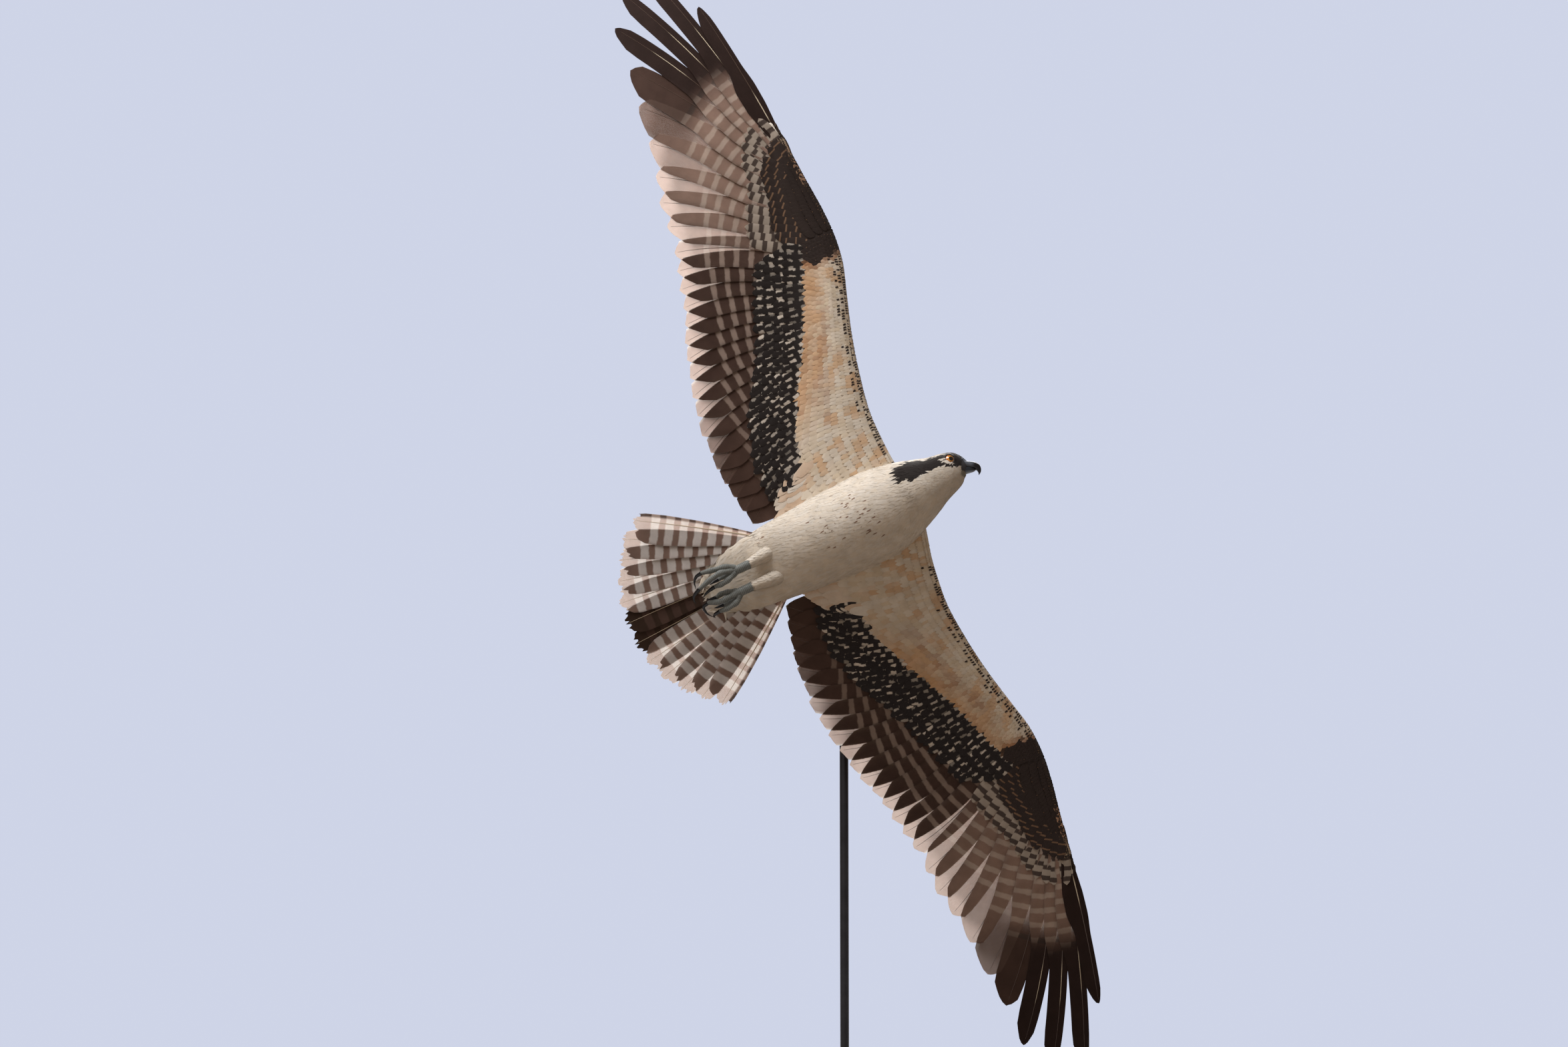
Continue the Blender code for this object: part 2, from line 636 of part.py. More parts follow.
def shafts(roots, tips, stations):
    """Points of a row of shafts, their sideways directions and the spaces between neighbours."""
    bend = np.linspace(FINGER_BEND, SHAFT_BEND, FINGERS)[np.minimum(np.arange(len(roots)), FINGERS - 1)]
    bend = bend[:, None, None]
    run = (tips - roots)[:, None, :]
    sideways = np.stack([-run[..., 1], run[..., 0]], axis=-1)
    share = stations[None, :, None]
    points = roots[:, None, :] + run * share + sideways * bend * 4 * share * (1 - share)
    along_shaft = np.gradient(points, axis=1)
    sideways = np.stack([-along_shaft[..., 1], along_shaft[..., 0]], axis=-1)
    sideways /= np.linalg.norm(sideways, axis=-1)[..., None]
    apart = np.abs(((points[:-1] - points[1:]) * sideways[1:]).sum(-1))
    outer = np.concatenate([apart[:1], apart])
    inner = np.concatenate([apart, apart[-1:]])
    return points, sideways, (outer + inner) / 2


def flight_row():
    """Roots and tips of the flight feathers, from the outermost primary to the innermost."""
    order = np.arange(SECONDARY_COUNT)
    roots = smooth_curve(SECONDARY_ROOTS, SECONDARY_ROOT_AT, order)
    tips = smooth_curve(SECONDARY_TIPS, SECONDARY_TIP_AT, order)
    roots = np.concatenate([PRIMARY_ROOTS[::-1], roots])
    tips = np.concatenate([PRIMARY_TIPS[::-1], tips])
    jitter = np.random.default_rng(SEED).uniform(-TIP_JITTER, TIP_JITTER, len(tips))
    run = (tips - roots) / np.linalg.norm(tips - roots, axis=1)[:, None]
    return roots, tips + run * jitter[:, None]


def wing_vane(points, sideways, spacing, outer, inner, level, rise, thickness, side):
    """One vane of a wing, which slopes so that its inner edge passes below its neighbour."""
    rows = []
    for offset in (outer, -inner):
        place_now = points + sideways * offset[:, None]
        height = wing_middle(place_now[:, 0], place_now[:, 1]) + level + rise * offset / spacing
        rows.append((place_now, height))
    corners = []
    for (edge, height), half in ((rows[0], 1), (rows[1], 1), (rows[1], -1), (rows[0], -1)):
        raised = height + half * thickness / 2
        corners.append(wing_to_bird(np.column_stack([edge, raised]), side))
    return plate(np.stack(corners, axis=1))


def flight_vanes(side, hand):
    """The primaries of a hand, or the secondaries of an arm."""
    primaries = len(PRIMARY_TIPS)
    stations = PRIMARY_STATIONS if hand else SECONDARY_STATIONS
    profile = PRIMARY_PROFILE if hand else SECONDARY_PROFILE
    points, sideways, spacing = shafts(*flight_row(), stations)
    vanes = []
    for i in range(primaries) if hand else range(primaries, len(points)):
        width, share = SECONDARY_WIDTH * profile, SECONDARY_OUTER_SHARE
        if hand:
            number = primaries - 1 - i
            narrowing = np.where(stations > FINGER_STARTS, FINGER_SHARES[number], 1.0)
            width, share = PRIMARY_WIDTHS[number] * profile * narrowing, PRIMARY_OUTER_SHARES[number]
        vanes.append(wing_vane(points[i], sideways[i], spacing[i], width * share,
                               width * (1 - share), 0.0, SHINGLE_RISE, VANE_THICKNESS, side))
    return vanes


def covert_vanes(side, hand):
    """Greater and median coverts on both faces of a hand or an arm."""
    roots, tips = flight_row()
    primaries = len(PRIMARY_TIPS)
    front = along(LEADING_EDGE, roots[:, 0])
    rear = along(FLESH_REAR, roots[:, 0])
    vanes = []
    for number, row in enumerate(COVERT_ROWS):
        starts = np.column_stack([roots[:, 0], front + (rear - front) * row["root"]])
        ends = roots + (tips - roots) * row["reach"]
        points, sideways, spacing = shafts(starts, ends, COVERT_STATIONS)
        first = MEDIAN_COVERTS_START if number > 1 else 1
        span = range(first, primaries) if hand else range(primaries, row["last"])
        for i in span:
            half = row["width"] * MM / 2 * COVERT_PROFILE
            half = np.minimum(half, 0.8 * spacing[i])
            vanes.append(wing_vane(points[i], sideways[i], spacing[i], half, half,
                                   row["level"] * MM, COVERT_RISE, COVERT_THICKNESS, side))
    return vanes


def wing(side, hand):
    """The arm or the hand of one wing with its vanes, cut free of the other and of the body."""
    flesh = wing_flesh(side)
    apply_boolean(flesh, "UNION", flight_vanes(side, hand) + covert_vanes(side, hand))
    apply_boolean(flesh, "DIFFERENCE", [wrist_cutter(side, not hand)])
    if not hand:
        throat = neck(2 * GAP)
        throat.data.transform(bird_frame().inverted())
        apply_boolean(flesh, "DIFFERENCE", [torso(GAP), throat])
    return flesh


def wrist_cutter(side, outer):
    """A block that takes away the wing's part outside or inside the cut at the wrist."""
    sign = 1 if outer else -1
    run = Vector((math.sin(WRIST_SLANT), -math.cos(WRIST_SLANT), 0)) * WRIST_BLOCK.x
    away = Vector((math.cos(WRIST_SLANT), math.sin(WRIST_SLANT), 0)) * WRIST_BLOCK.y * sign
    centre = WRIST.to_3d() + run / 8 + away * (0.5 - GAP / 2 / WRIST_BLOCK.y)
    matrix = Matrix((run, away, (0, 0, WRIST_BLOCK.z))).transposed().to_4x4()
    shape = bmesh.new()
    bmesh.ops.create_cube(shape, size=1.0, matrix=Matrix.Translation(centre) @ matrix)
    for vert in shape.verts:
        vert.co = wing_to_bird(vert.co, side)
    return add_shape(shape)


def tail_vane(turn, root, tip, outer, inner, stations, level, rise, thickness, spacing):
    """One vane of the tail's fan, its inner edge lower than its outer one."""
    side = 1 if turn > 0 else -1
    direction = np.array([-math.cos(turn), math.sin(turn)])
    sideways = np.array([math.sin(turn), math.cos(turn)]) * side
    reach = root + (tip - root) * stations
    points = TAIL_APEX + direction * reach[:, None]
    corners = []
    for offset, half in ((outer, 1), (-inner, 1), (-inner, -1), (outer, -1)):
        height = level + rise * offset / (reach * spacing) + half * thickness / 2
        corners.append(np.column_stack([points + sideways * offset[:, None], height]))
    return plate(np.stack(corners, axis=1))


def tail_vanes():
    """The tail's feathers, the middle pair on top, and their coverts on both faces."""
    turns = np.linspace(-TAIL_HALF_SPREAD, TAIL_HALF_SPREAD, TAIL_COUNT)
    spacing = turns[1] - turns[0]
    jitter = np.random.default_rng(SEED + 1).uniform(-TIP_JITTER, TIP_JITTER, TAIL_COUNT)
    vanes = []
    for number, turn in enumerate(turns):
        spread = (turn / TAIL_HALF_SPREAD)**2
        tip = TAIL_MIDDLE_LENGTH + (TAIL_OUTER_LENGTH - TAIL_MIDDLE_LENGTH) * spread + jitter[number]
        share = TAIL_OUTER_SHARES[0] + (TAIL_OUTER_SHARES[1] - TAIL_OUTER_SHARES[0]) * spread
        width = TAIL_WIDTH * TAIL_PROFILE
        level = TAIL_HEIGHT + (TAIL_TOP_LIFT if number == TAIL_COUNT // 2 else 0.0)
        vanes.append(tail_vane(turn, TAIL_ROOT, tip, width * share, width * (1 - share),
                               TAIL_STATIONS, level, SHINGLE_RISE, VANE_THICKNESS, spacing))
    for row in TAIL_COVERT_ROWS:
        turns = np.linspace(-TAIL_HALF_SPREAD, TAIL_HALF_SPREAD, row["count"]) * 0.92
        spacing = turns[1] - turns[0]
        lift = np.where(np.arange(row["count"]) == row["count"] // 2, 2 * COVERT_RISE, 0.0)
        for turn, raised in zip(turns, lift * np.sign(row["level"])):
            tip = row["tip"] * MM * (1 - 0.12 * (turn / TAIL_HALF_SPREAD)**2)
            half = row["width"] * MM / 2 * COVERT_PROFILE
            vanes.append(tail_vane(turn, row["root"] * MM, tip, half, half, COVERT_STATIONS,
                                   TAIL_HEIGHT + row["level"] * MM + raised, COVERT_RISE,
                                   COVERT_THICKNESS, spacing))
    return vanes


def tail():
    """Rump and tail, with the vanes rooted in the rump."""
    flesh = rump()
    apply_boolean(flesh, "UNION", tail_vanes())
    apply_boolean(flesh, "DIFFERENCE", [torso(GAP)])
    return flesh


def rump():
    """The tapering rear of the body, from the torso's rear face over the roots of the tail."""
    start = TORSO_STATIONS[0].copy()
    start[0] -= GAP
    stations = np.vstack([start, RUMP_STATIONS])
    places = np.linspace(stations[0, 0], stations[-1, 0], 5)
    order = np.argsort(stations[:, 0])
    rows = smooth_curve(stations[order], stations[order, 0], places)
    return loft([body_ring(row, 0.0) for row in rows])


def limb(stations, samples, points=TOE_POINTS):
    """A tube through rows of a centre and a radius."""
    rows = smooth_curve(stations, np.arange(len(stations)), np.linspace(0, len(stations) - 1, samples))
    return tube(rows[:, :3], rows[:, 3], points)


def toe(path):
    """One toe as a tube that swells at its pads."""
    path = smooth_curve(np.array(path) * MM, np.arange(len(path)), np.linspace(0, len(path) - 1, 8))
    share = np.linspace(0, 1, len(path))
    radii = TOE_ROOT_RADIUS + (TOE_END_RADIUS - TOE_ROOT_RADIUS) * share
    return tube(path, radii * (1 + TOE_PAD * np.sin(share * 6 * math.pi)), TOE_POINTS)


def claw(toe_path, claw_path):
    """One hooked claw, a small gap beyond its toe."""
    end = np.array(toe_path[-1]) * MM
    before = np.array(toe_path[-2]) * MM
    ahead = (end - before) / np.linalg.norm(end - before)
    path = np.vstack([end + ahead * GAP, np.array(claw_path) * MM])
    path = smooth_curve(path, np.arange(len(path)), np.linspace(0, len(path) - 1, 7))
    radii = CLAW_RADIUS * (1 - np.linspace(0, 1, len(path))**1.3) + 0.25 * MM
    path[0] = end + ahead * GAP
    path[1] = path[0] + ahead * np.linalg.norm(path[1] - path[0])
    return tube(path, radii, 6)


def rod():
    """The stand's rod: up from the base and bent forward into the bird's back."""
    lean = np.array([0, -math.cos(LEAN), -math.sin(LEAN)])
    end = np.array(BODY_CENTRE) + np.array([ROD_SIDE, 0, 0])
    corner = end - lean * (TORSO_STATIONS[4, 4] + ROD_REACH)
    path = [np.array([corner[0], corner[1], BASE_THICKNESS + GAP])]
    path.append(corner - np.array([0, 0, ROD_BEND * 1.2]))
    start, finish = path[-1], corner + lean * ROD_BEND
    for share in np.linspace(0, 1, 8)[1:]:
        path.append((1 - share)**2 * start + 2 * share * (1 - share) * corner + share**2 * finish)
    path.append(end)
    post = tube(path, np.full(len(path), ROD_RADIUS), ROD_POINTS)
    back = torso(GAP)
    back.data.transform(side_frame() @ bird_frame())
    apply_boolean(post, "DIFFERENCE", [back])
    return post


def base():
    """The stand's round base, its edges eased."""
    shape = bmesh.new()
    bmesh.ops.create_cone(
        shape, cap_ends=True, segments=BASE_POINTS, radius1=BASE_RADIUS, radius2=BASE_RADIUS,
        depth=BASE_THICKNESS, matrix=Matrix.Translation((0, 0, BASE_THICKNESS / 2)))
    disc = add_shape(shape)
    ease = disc.modifiers.new("ease", "BEVEL")
    ease.width = BASE_BEVEL
    ease.segments = 1
    ease.limit_method = "ANGLE"
    ease.angle_limit = SHARP_ANGLE
    disc.data = evaluated(disc)
    return disc


def build():
    """Makes every node of the bird and its stand."""
    clear_scene()
    materials = make_materials()
    side = side_frame()
    bird = side @ bird_frame()
    skull = side @ skull_frame()

    place(torso(), "torso", materials["white_plumage"], bird)
    place(neck(), "neck", materials["white_plumage"], side)
    place(head(), "head", materials["head_plumage"], side)
    for name, stations in (("bill_upper", UPPER_BILL), ("bill_lower", LOWER_BILL)):
        half = bill(stations)
        if stations is UPPER_BILL:
            nostrils = []
            for turn in SIDE_NAMES:
                centre = (NOSTRIL.x, NOSTRIL.y * turn, NOSTRIL.z)
                nostrils.append(sphere(centre, 1.0 * MM, 8, 6, (1.9, 0.9, 0.8)))
            apply_boolean(half, "DIFFERENCE", nostrils)
        place(half, name, materials["bill"], skull)

    for turn, name in SIDE_NAMES.items():
        eye = sphere((EYE_CENTRE.x, EYE_CENTRE.y * turn, EYE_CENTRE.z), EYE_RADIUS, 16, 10)
        place(eye, f"eye_{name}", materials["eye"], skull)

        for part in ("arm", "hand"):
            place(wing(turn, part == "hand"), f"wing_{name}_{part}", materials["wing_plumage"], bird)

        shank = limb(SHANKS[turn], 6, 14)
        apply_boolean(shank, "DIFFERENCE", [torso(GAP)])
        place(shank, f"leg_{name}", materials["white_plumage"], bird)

        foot = limb(TARSI[turn], 4, 12)
        apply_boolean(foot, "UNION", [toe(path) for path in TOES[turn].values()])
        place(foot, f"foot_{name}", materials["feet"], bird)
        for digit, path in CLAWS[turn].items():
            place(claw(TOES[turn][digit], path), f"claw_{name}_{digit}", materials["claw"], bird)

    place(tail(), "tail", materials["tail_plumage"], bird)

    place(rod(), "stand_rod", materials["stand"], Matrix.Identity(4))
    place(base(), "stand_base", materials["stand"], Matrix.Identity(4))


build()
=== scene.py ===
"""Life-size osprey in banked flight: its skin, plumage, bare parts, stand and studio.

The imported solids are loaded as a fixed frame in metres, +Z up, with the origin in the middle
of the stand's underside. Trunk, wings, tail and legs are worked out in the bird's own frame:
+X towards the neck, +Y towards its left wing and +Z towards its back, about the middle of the
body. Head and neck are worked out in the side frame: +X right, +Z up and +Y away from the
camera. One skin lies under everything, and thin closed feathers are laid over it in rows.
Tables are in millimetres and degrees; everything worked out from them is in metres.
"""
from __future__ import annotations

import logging
import math
from dataclasses import dataclass, fields
from enum import Enum
from typing import Callable, Iterable, Sequence

import bpy
import numpy as np
from mathutils import Matrix

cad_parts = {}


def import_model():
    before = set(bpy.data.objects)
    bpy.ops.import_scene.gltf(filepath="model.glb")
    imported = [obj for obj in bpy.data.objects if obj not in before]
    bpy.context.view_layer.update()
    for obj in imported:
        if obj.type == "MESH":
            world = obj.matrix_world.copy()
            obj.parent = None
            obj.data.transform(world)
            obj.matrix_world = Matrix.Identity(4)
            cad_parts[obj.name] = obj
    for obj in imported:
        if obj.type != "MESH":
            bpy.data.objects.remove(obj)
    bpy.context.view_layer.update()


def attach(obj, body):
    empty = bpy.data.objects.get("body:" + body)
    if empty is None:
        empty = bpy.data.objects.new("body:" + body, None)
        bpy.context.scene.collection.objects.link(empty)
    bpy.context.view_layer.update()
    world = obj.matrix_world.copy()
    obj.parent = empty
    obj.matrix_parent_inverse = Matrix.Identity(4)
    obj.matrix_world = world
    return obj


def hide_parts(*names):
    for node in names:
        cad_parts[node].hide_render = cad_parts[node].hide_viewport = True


LOG = logging.getLogger("osprey")

Array = np.ndarray
Material = bpy.types.Material
Piece = bpy.types.Object
Socket = bpy.types.NodeSocket

MM = 0.001
BODY = "root"
SHARP_ANGLE = math.radians(50)
BLADE_STATIONS = 58


class Side(Enum):
    """One side of the bird, with its sign along the bird's +Y."""

    LEFT = 1
    RIGHT = -1

    @property
    def label(self) -> str:
        """The side's name in lower case."""
        return self.name.lower()


class Face(Enum):
    """One face of a wing, with its sign along the bird's +Z."""

    UNDER = -1
    UPPER = 1


def colour(red: int, green: int, blue: int) -> Array:
    """A colour given in display values from 0 to 255, as linear light."""
    value = np.array([red, green, blue]) / 255.0
    return np.where(value <= 0.04045, value / 12.92, ((value + 0.055) / 1.055) ** 2.4)


def draws(seed: int) -> np.random.Generator:
    """A series of random numbers that is the same each time."""
    return np.random.default_rng(seed)


def full_turn(count: int) -> Array:
    """Angles of a full turn, in equal steps from 0."""
    return np.linspace(0, 2 * math.pi, count, endpoint=False)


def axes(*values: Array) -> Array:
    """The values as the parts of vectors, along a new last axis."""
    return np.stack(np.broadcast_arrays(*values), axis=-1)


def smooth_curve(points: Array, at: Sequence[float], samples: Array) -> Array:
    """Reads a smooth curve through points that stand at rising places.

    The curve is a cubic between neighbours, with the slope at a point taken from the points
    beside it.

    Args:
        points: Values, one row for each place.
        at: The places, rising.
        samples: Where to read the curve.

    Returns:
        The values at the samples.
    """
    points, at = np.asarray(points, float), np.asarray(at, float)
    samples = np.atleast_1d(np.asarray(samples, float))
    slopes = np.gradient(points, at, axis=0)
    i = np.clip(np.searchsorted(at, samples) - 1, 0, len(at) - 2)
    span = at[i + 1] - at[i]
    t = np.clip((samples - at[i]) / span, 0.0, 1.0)
    if points.ndim > 1:
        shape = (-1,) + (1,) * (points.ndim - 1)
        t, span = t.reshape(shape), span.reshape(shape)
    return (
        (2 * t**3 - 3 * t**2 + 1) * points[i]
        + (t**3 - 2 * t**2 + t) * span * slopes[i]
        + (3 * t**2 - 2 * t**3) * points[i + 1]
        + (t**3 - t**2) * span * slopes[i + 1]
    )


def evenly(points: Array, count: int) -> Array:
    """A smooth curve through points, read at equal steps from the first to the last."""
    return smooth_curve(points, np.arange(len(points)), np.linspace(0, len(points) - 1, count))


def along(table: Sequence, samples: Array) -> Array:
    """Second column of a table in millimetres, read smoothly at values of its first, in metres."""
    table = np.asarray(table, float) * MM
    return smooth_curve(table[:, 1], table[:, 0], np.ravel(samples)).reshape(np.shape(samples))


def smooth_step(low: float, high: float, value: Array) -> Array:
    """A soft step: 0 at low, 1 at high, level at both ends."""
    t = np.clip((value - low) / (high - low), 0.0, 1.0)
    return t * t * (3 - 2 * t)


def blend(first: Array, second: Array, share: Array) -> Array:
    """First where the share is 0 and second where it is 1."""
    share = np.asarray(share)[..., None]
    return first * (1 - share) + second * share


def unit(vectors: Array) -> Array:
    """The vectors of the last axis at length one."""
    return vectors / np.maximum(np.linalg.norm(vectors, axis=-1, keepdims=True), 1e-12)


def carry(points: Array, matrix: Array) -> Array:
    """The points of the last axis carried by a four by four matrix."""
    return points @ matrix[:3, :3].T + matrix[:3, 3]


def inside_by(points: Array, outline: Sequence) -> Array:
    """How far points of a plane lie inside a closed outline; outside it is less than zero.

    The distance is to the nearest edge. A point is inside where a line from it crosses the
    outline an odd number of times.

    Args:
        points: Points of the plane.
        outline: Corners of the outline in millimetres.

    Returns:
        One distance for each point.
    """
    start = np.asarray(outline, float) * MM
    end = np.roll(start, -1, 0)
    run = end - start
    to = points[..., None, :] - start
    share = np.clip((to * run).sum(-1) / (run**2).sum(-1), 0, 1)
    distance = np.linalg.norm(to - run * share[..., None], axis=-1).min(-1)
    x, y = points[..., None, 0], points[..., None, 1]
    spans = (start[:, 1] > y) != (end[:, 1] > y)
    rise = np.where(run[:, 1] == 0, 1e-12, run[:, 1])
    crossing = start[:, 0] + (y - start[:, 1]) * run[:, 0] / rise
    odd = (spans & (x < crossing)).sum(-1) % 2 == 1
    return np.where(odd, distance, -distance)


@dataclass(frozen=True)
class Pose:
    """How the body hangs over the floor, and how the head sits on it."""

    centre: tuple[float, float, float] = (0, -35, 800)
    climb: float = 26.0
    lean: float = 8.0
    skull_origin: tuple[float, float, float] = (132.7, -4.0, 95.2)
    skull_roll: float = 25.0
    skull_dip: float = 4.6

    def side_to_world(self) -> Array:
        """Matrix from the side frame to the world: a lean about X, then a shift."""
        matrix = np.eye(4)
        cos, sin = math.cos(math.radians(self.lean)), math.sin(math.radians(self.lean))
        matrix[1:3, 1:3] = [[cos, -sin], [sin, cos]]
        matrix[:3, 3] = np.array(self.centre) * MM
        return matrix

    def bird_to_side(self) -> Array:
        """Matrix from the bird's frame to the side frame: its belly faces the camera."""
        cos, sin = math.cos(math.radians(self.climb)), math.sin(math.radians(self.climb))
        matrix = np.eye(4)
        matrix[:3, :3] = [[cos, sin, 0], [0, 0, 1], [sin, -cos, 0]]
        return matrix

    def skull_to_side(self) -> Array:
        """Matrix from the skull's frame, +X along the bill and +Z to the crown."""
        dip, roll = math.radians(self.skull_dip), math.radians(self.skull_roll)
        forward = np.array([math.cos(dip), 0, -math.sin(dip)])
        up = np.array([math.sin(dip), 0, math.cos(dip)])
        crown = up * math.cos(roll) + np.array([0, 1, 0]) * math.sin(roll)
        matrix = np.eye(4)
        matrix[:3, :3] = axes(forward, np.cross(crown, forward), crown)
        matrix[:3, 3] = np.array(self.skull_origin) * MM
        return matrix

    def bird(self) -> Array:
        """Matrix from the bird's frame to the world."""
        return self.side_to_world() @ self.bird_to_side()

    def skull(self) -> Array:
        """Matrix from the skull's frame to the world."""
        return self.side_to_world() @ self.skull_to_side()

    def in_bird(self, points: Array) -> Array:
        """World points in the bird's frame, in millimetres."""
        return carry(points, np.linalg.inv(self.bird())) / MM

    def in_side(self, points: Array) -> Array:
        """World points in the side frame, in millimetres."""
        return carry(points, np.linalg.inv(self.side_to_world())) / MM

    def in_skull(self, points: Array) -> Array:
        """World points in the skull's frame, in millimetres."""
        return carry(points, np.linalg.inv(self.skull())) / MM


POSE = Pose()


@dataclass
class Meshwork:
    """A mesh being put together: its points, and groups of faces of equal corner count."""

    name: str
    points: Array
    faces: Sequence[Array]

    def build(self, material: Material) -> Piece:
        """Writes the arrays into one smooth mesh object with sharp rims, facing outwards."""
        groups = [np.asarray(group) for group in self.faces if len(group)]
        corners = np.concatenate([g.reshape(-1) for g in groups]).astype(np.int32)
        totals = np.concatenate([np.full(len(g), g.shape[1]) for g in groups])
        starts = np.concatenate([[0], np.cumsum(totals)[:-1]]).astype(np.int32)
        mesh = bpy.data.meshes.new(self.name)
        mesh.vertices.add(self.points.size // 3)
        mesh.vertices.foreach_set("co", self.points.astype(np.float32).ravel())
        mesh.loops.add(len(corners))
        mesh.loops.foreach_set("vertex_index", corners)
        mesh.polygons.add(len(totals))
        mesh.polygons.foreach_set("loop_start", starts)
        mesh.polygons.foreach_set("use_smooth", np.ones(len(totals), bool))
        mesh.update(calc_edges=True)
        mesh.materials.append(material)
        obj = bpy.data.objects.new(self.name, mesh)
        bpy.context.scene.collection.objects.link(obj)
        face_outwards(mesh)
        mesh.set_sharp_from_angle(angle=SHARP_ANGLE)
        return obj


def mesh_points(mesh: bpy.types.Mesh) -> Array:
    """The mesh's points, one row each."""
    points = np.empty(len(mesh.vertices) * 3, np.float32)
    mesh.vertices.foreach_get("co", points)
    return points.reshape(-1, 3).astype(float)


def face_outwards(mesh: bpy.types.Mesh) -> None:
    """Turns the faces of closed surfaces to point out of them.

    The signed volume is the sum over triangles of corner dot the cross product of the other
    two. Where it is less than zero, every face is flipped.
    """
    mesh.calc_loop_triangles()
    points = mesh_points(mesh)
    points = points - points.mean(0)
    corners = np.empty(len(mesh.loop_triangles) * 3, np.int32)
    mesh.loop_triangles.foreach_get("vertices", corners)
    a, b, c = (points[corners.reshape(-1, 3)[:, k]] for k in range(3))
    if np.einsum("ij,ij->", a, np.cross(b, c)) < 0:
        mesh.flip_normals()


def set_values(obj: Piece, name: str, values: Array) -> None:
    """Stores a number or a vector for each point.

    Args:
        obj: The piece.
        name: The name under which its material reads the values.
        values: A number for each point, a vector for each, or one vector for them all.
    """
    wide = values.shape[-1] == 3
    values = values.reshape(-1, 3 if wide else 1)
    values = np.broadcast_to(values, (len(obj.data.vertices), values.shape[1]))
    attribute = obj.data.attributes.new(name, "FLOAT_VECTOR" if wide else "FLOAT", "POINT")
    attribute.data.foreach_set("vector" if wide else "value", values.astype(np.float32).ravel())


def set_bake_map(obj: Piece, places: Array) -> None:
    """Stores the map through which the finish is baked, one place for each face corner."""
    layer = obj.data.uv_layers.new(name="OFBake")
    layer.data.foreach_set("uv", np.ascontiguousarray(places, np.float32).ravel())


def corner_points(obj: Piece) -> Array:
    """The point number of every face corner."""
    index = np.empty(len(obj.data.loops), np.int32)
    obj.data.loops.foreach_get("vertex_index", index)
    return index


def tube_faces(rings: int, around: int) -> tuple[Array, Array]:
    """Quads of a closed tube of rings, and the two faces that end it."""
    k, j = np.meshgrid(np.arange(rings - 1), np.arange(around), indexing="ij")
    a, b = k * around + j, k * around + (j + 1) % around
    quads = axes(a, b, b + around, a + around).reshape(-1, 4)
    ends = np.stack([np.arange(around)[::-1], (rings - 1) * around + np.arange(around)])
    return quads, ends


def cap_faces(across: int, around: int) -> Array:
    """Triangles that close a vane's section, between its outer points and the ones within.

    The section has either one point within, or one behind each outer point but the first
    and the last.
    """
    outer = np.arange(across)
    paired = np.where(outer % (across - 1) == 0, outer, 2 * across - 2 - outer)
    within = paired if around > across + 1 else np.full(across, across)
    faces = np.concatenate([axes(outer[:-1], outer[1:], within[1:]),
                            axes(outer[:-1], within[1:], within[:-1])])
    return faces[(faces != np.roll(faces, 1, 1)).all(1)]


def many_tubes(count: int, rings: int, around: int, across: int = 0) -> tuple[Array, Array]:
    """Faces of many closed tubes, one after the other.

    Args:
        count: How many tubes.
        rings: Rings in a tube.
        around: Points in a ring.
        across: Points on the outer side of a vane's section, or 0 where the tubes are round.

    Returns:
        The quads, and the faces that end the tubes.
    """
    quads, ends = tube_faces(rings, around)
    if across:
        cap = cap_faces(across, around)
        ends = np.concatenate([cap[:, ::-1], cap + (rings - 1) * around])
    first = (np.arange(count) * rings * around)[:, None, None]
    return (quads[None] + first).reshape(-1, 4), (ends[None] + first).reshape(-1, ends.shape[1])


def tube_points(centres: Array, radii: Array, around: int) -> Array:
    """Rings of a tube along a path.

    Each ring stands square to the path. Its side axis is carried along the path by taking
    away what leans forward, so the tube doesn't twist.

    Args:
        centres: Points of the path.
        radii: Radius at each point.
        around: Points in a ring.

    Returns:
        Points as rings by around by three.
    """
    tangents = unit(np.gradient(centres, axis=0))
    side = np.array([0.0, 1.0, 0.0]) if abs(tangents[0, 2]) > 0.9 else np.array([0.0, 0.0, 1.0])
    sides = np.empty_like(tangents)
    for k, tangent in enumerate(tangents):
        side = unit(side - tangent * (side @ tangent))
        sides[k] = side
    others = np.cross(tangents, sides)
    angle = full_turn(around)[None, :, None]
    spread = np.cos(angle) * sides[:, None] + np.sin(angle) * others[:, None]
    return centres[:, None] + spread * np.asarray(radii)[:, None, None]


class Ground:
    """What feathers lie on: places on it, steps down the lie and across it, and its height."""

    def lay(self, u: Array, v: Array, turn: Array, back: Array, aside: Array) -> tuple[Array, Array]:
        """Reads the ground at steps from places on it.

        Args:
            u: First value of each place.
            v: Second value of each place.
            turn: Each feather's turn.
            back: Steps down the lie, a grid for each place.
            aside: Steps across it, a grid for each place.

        Returns:
            Points and outward directions.
        """
        raise NotImplementedError

    def unwrapped(self, u: Array, v: Array) -> Array:
        """The places as a flat map from 0 to 1."""
        raise NotImplementedError


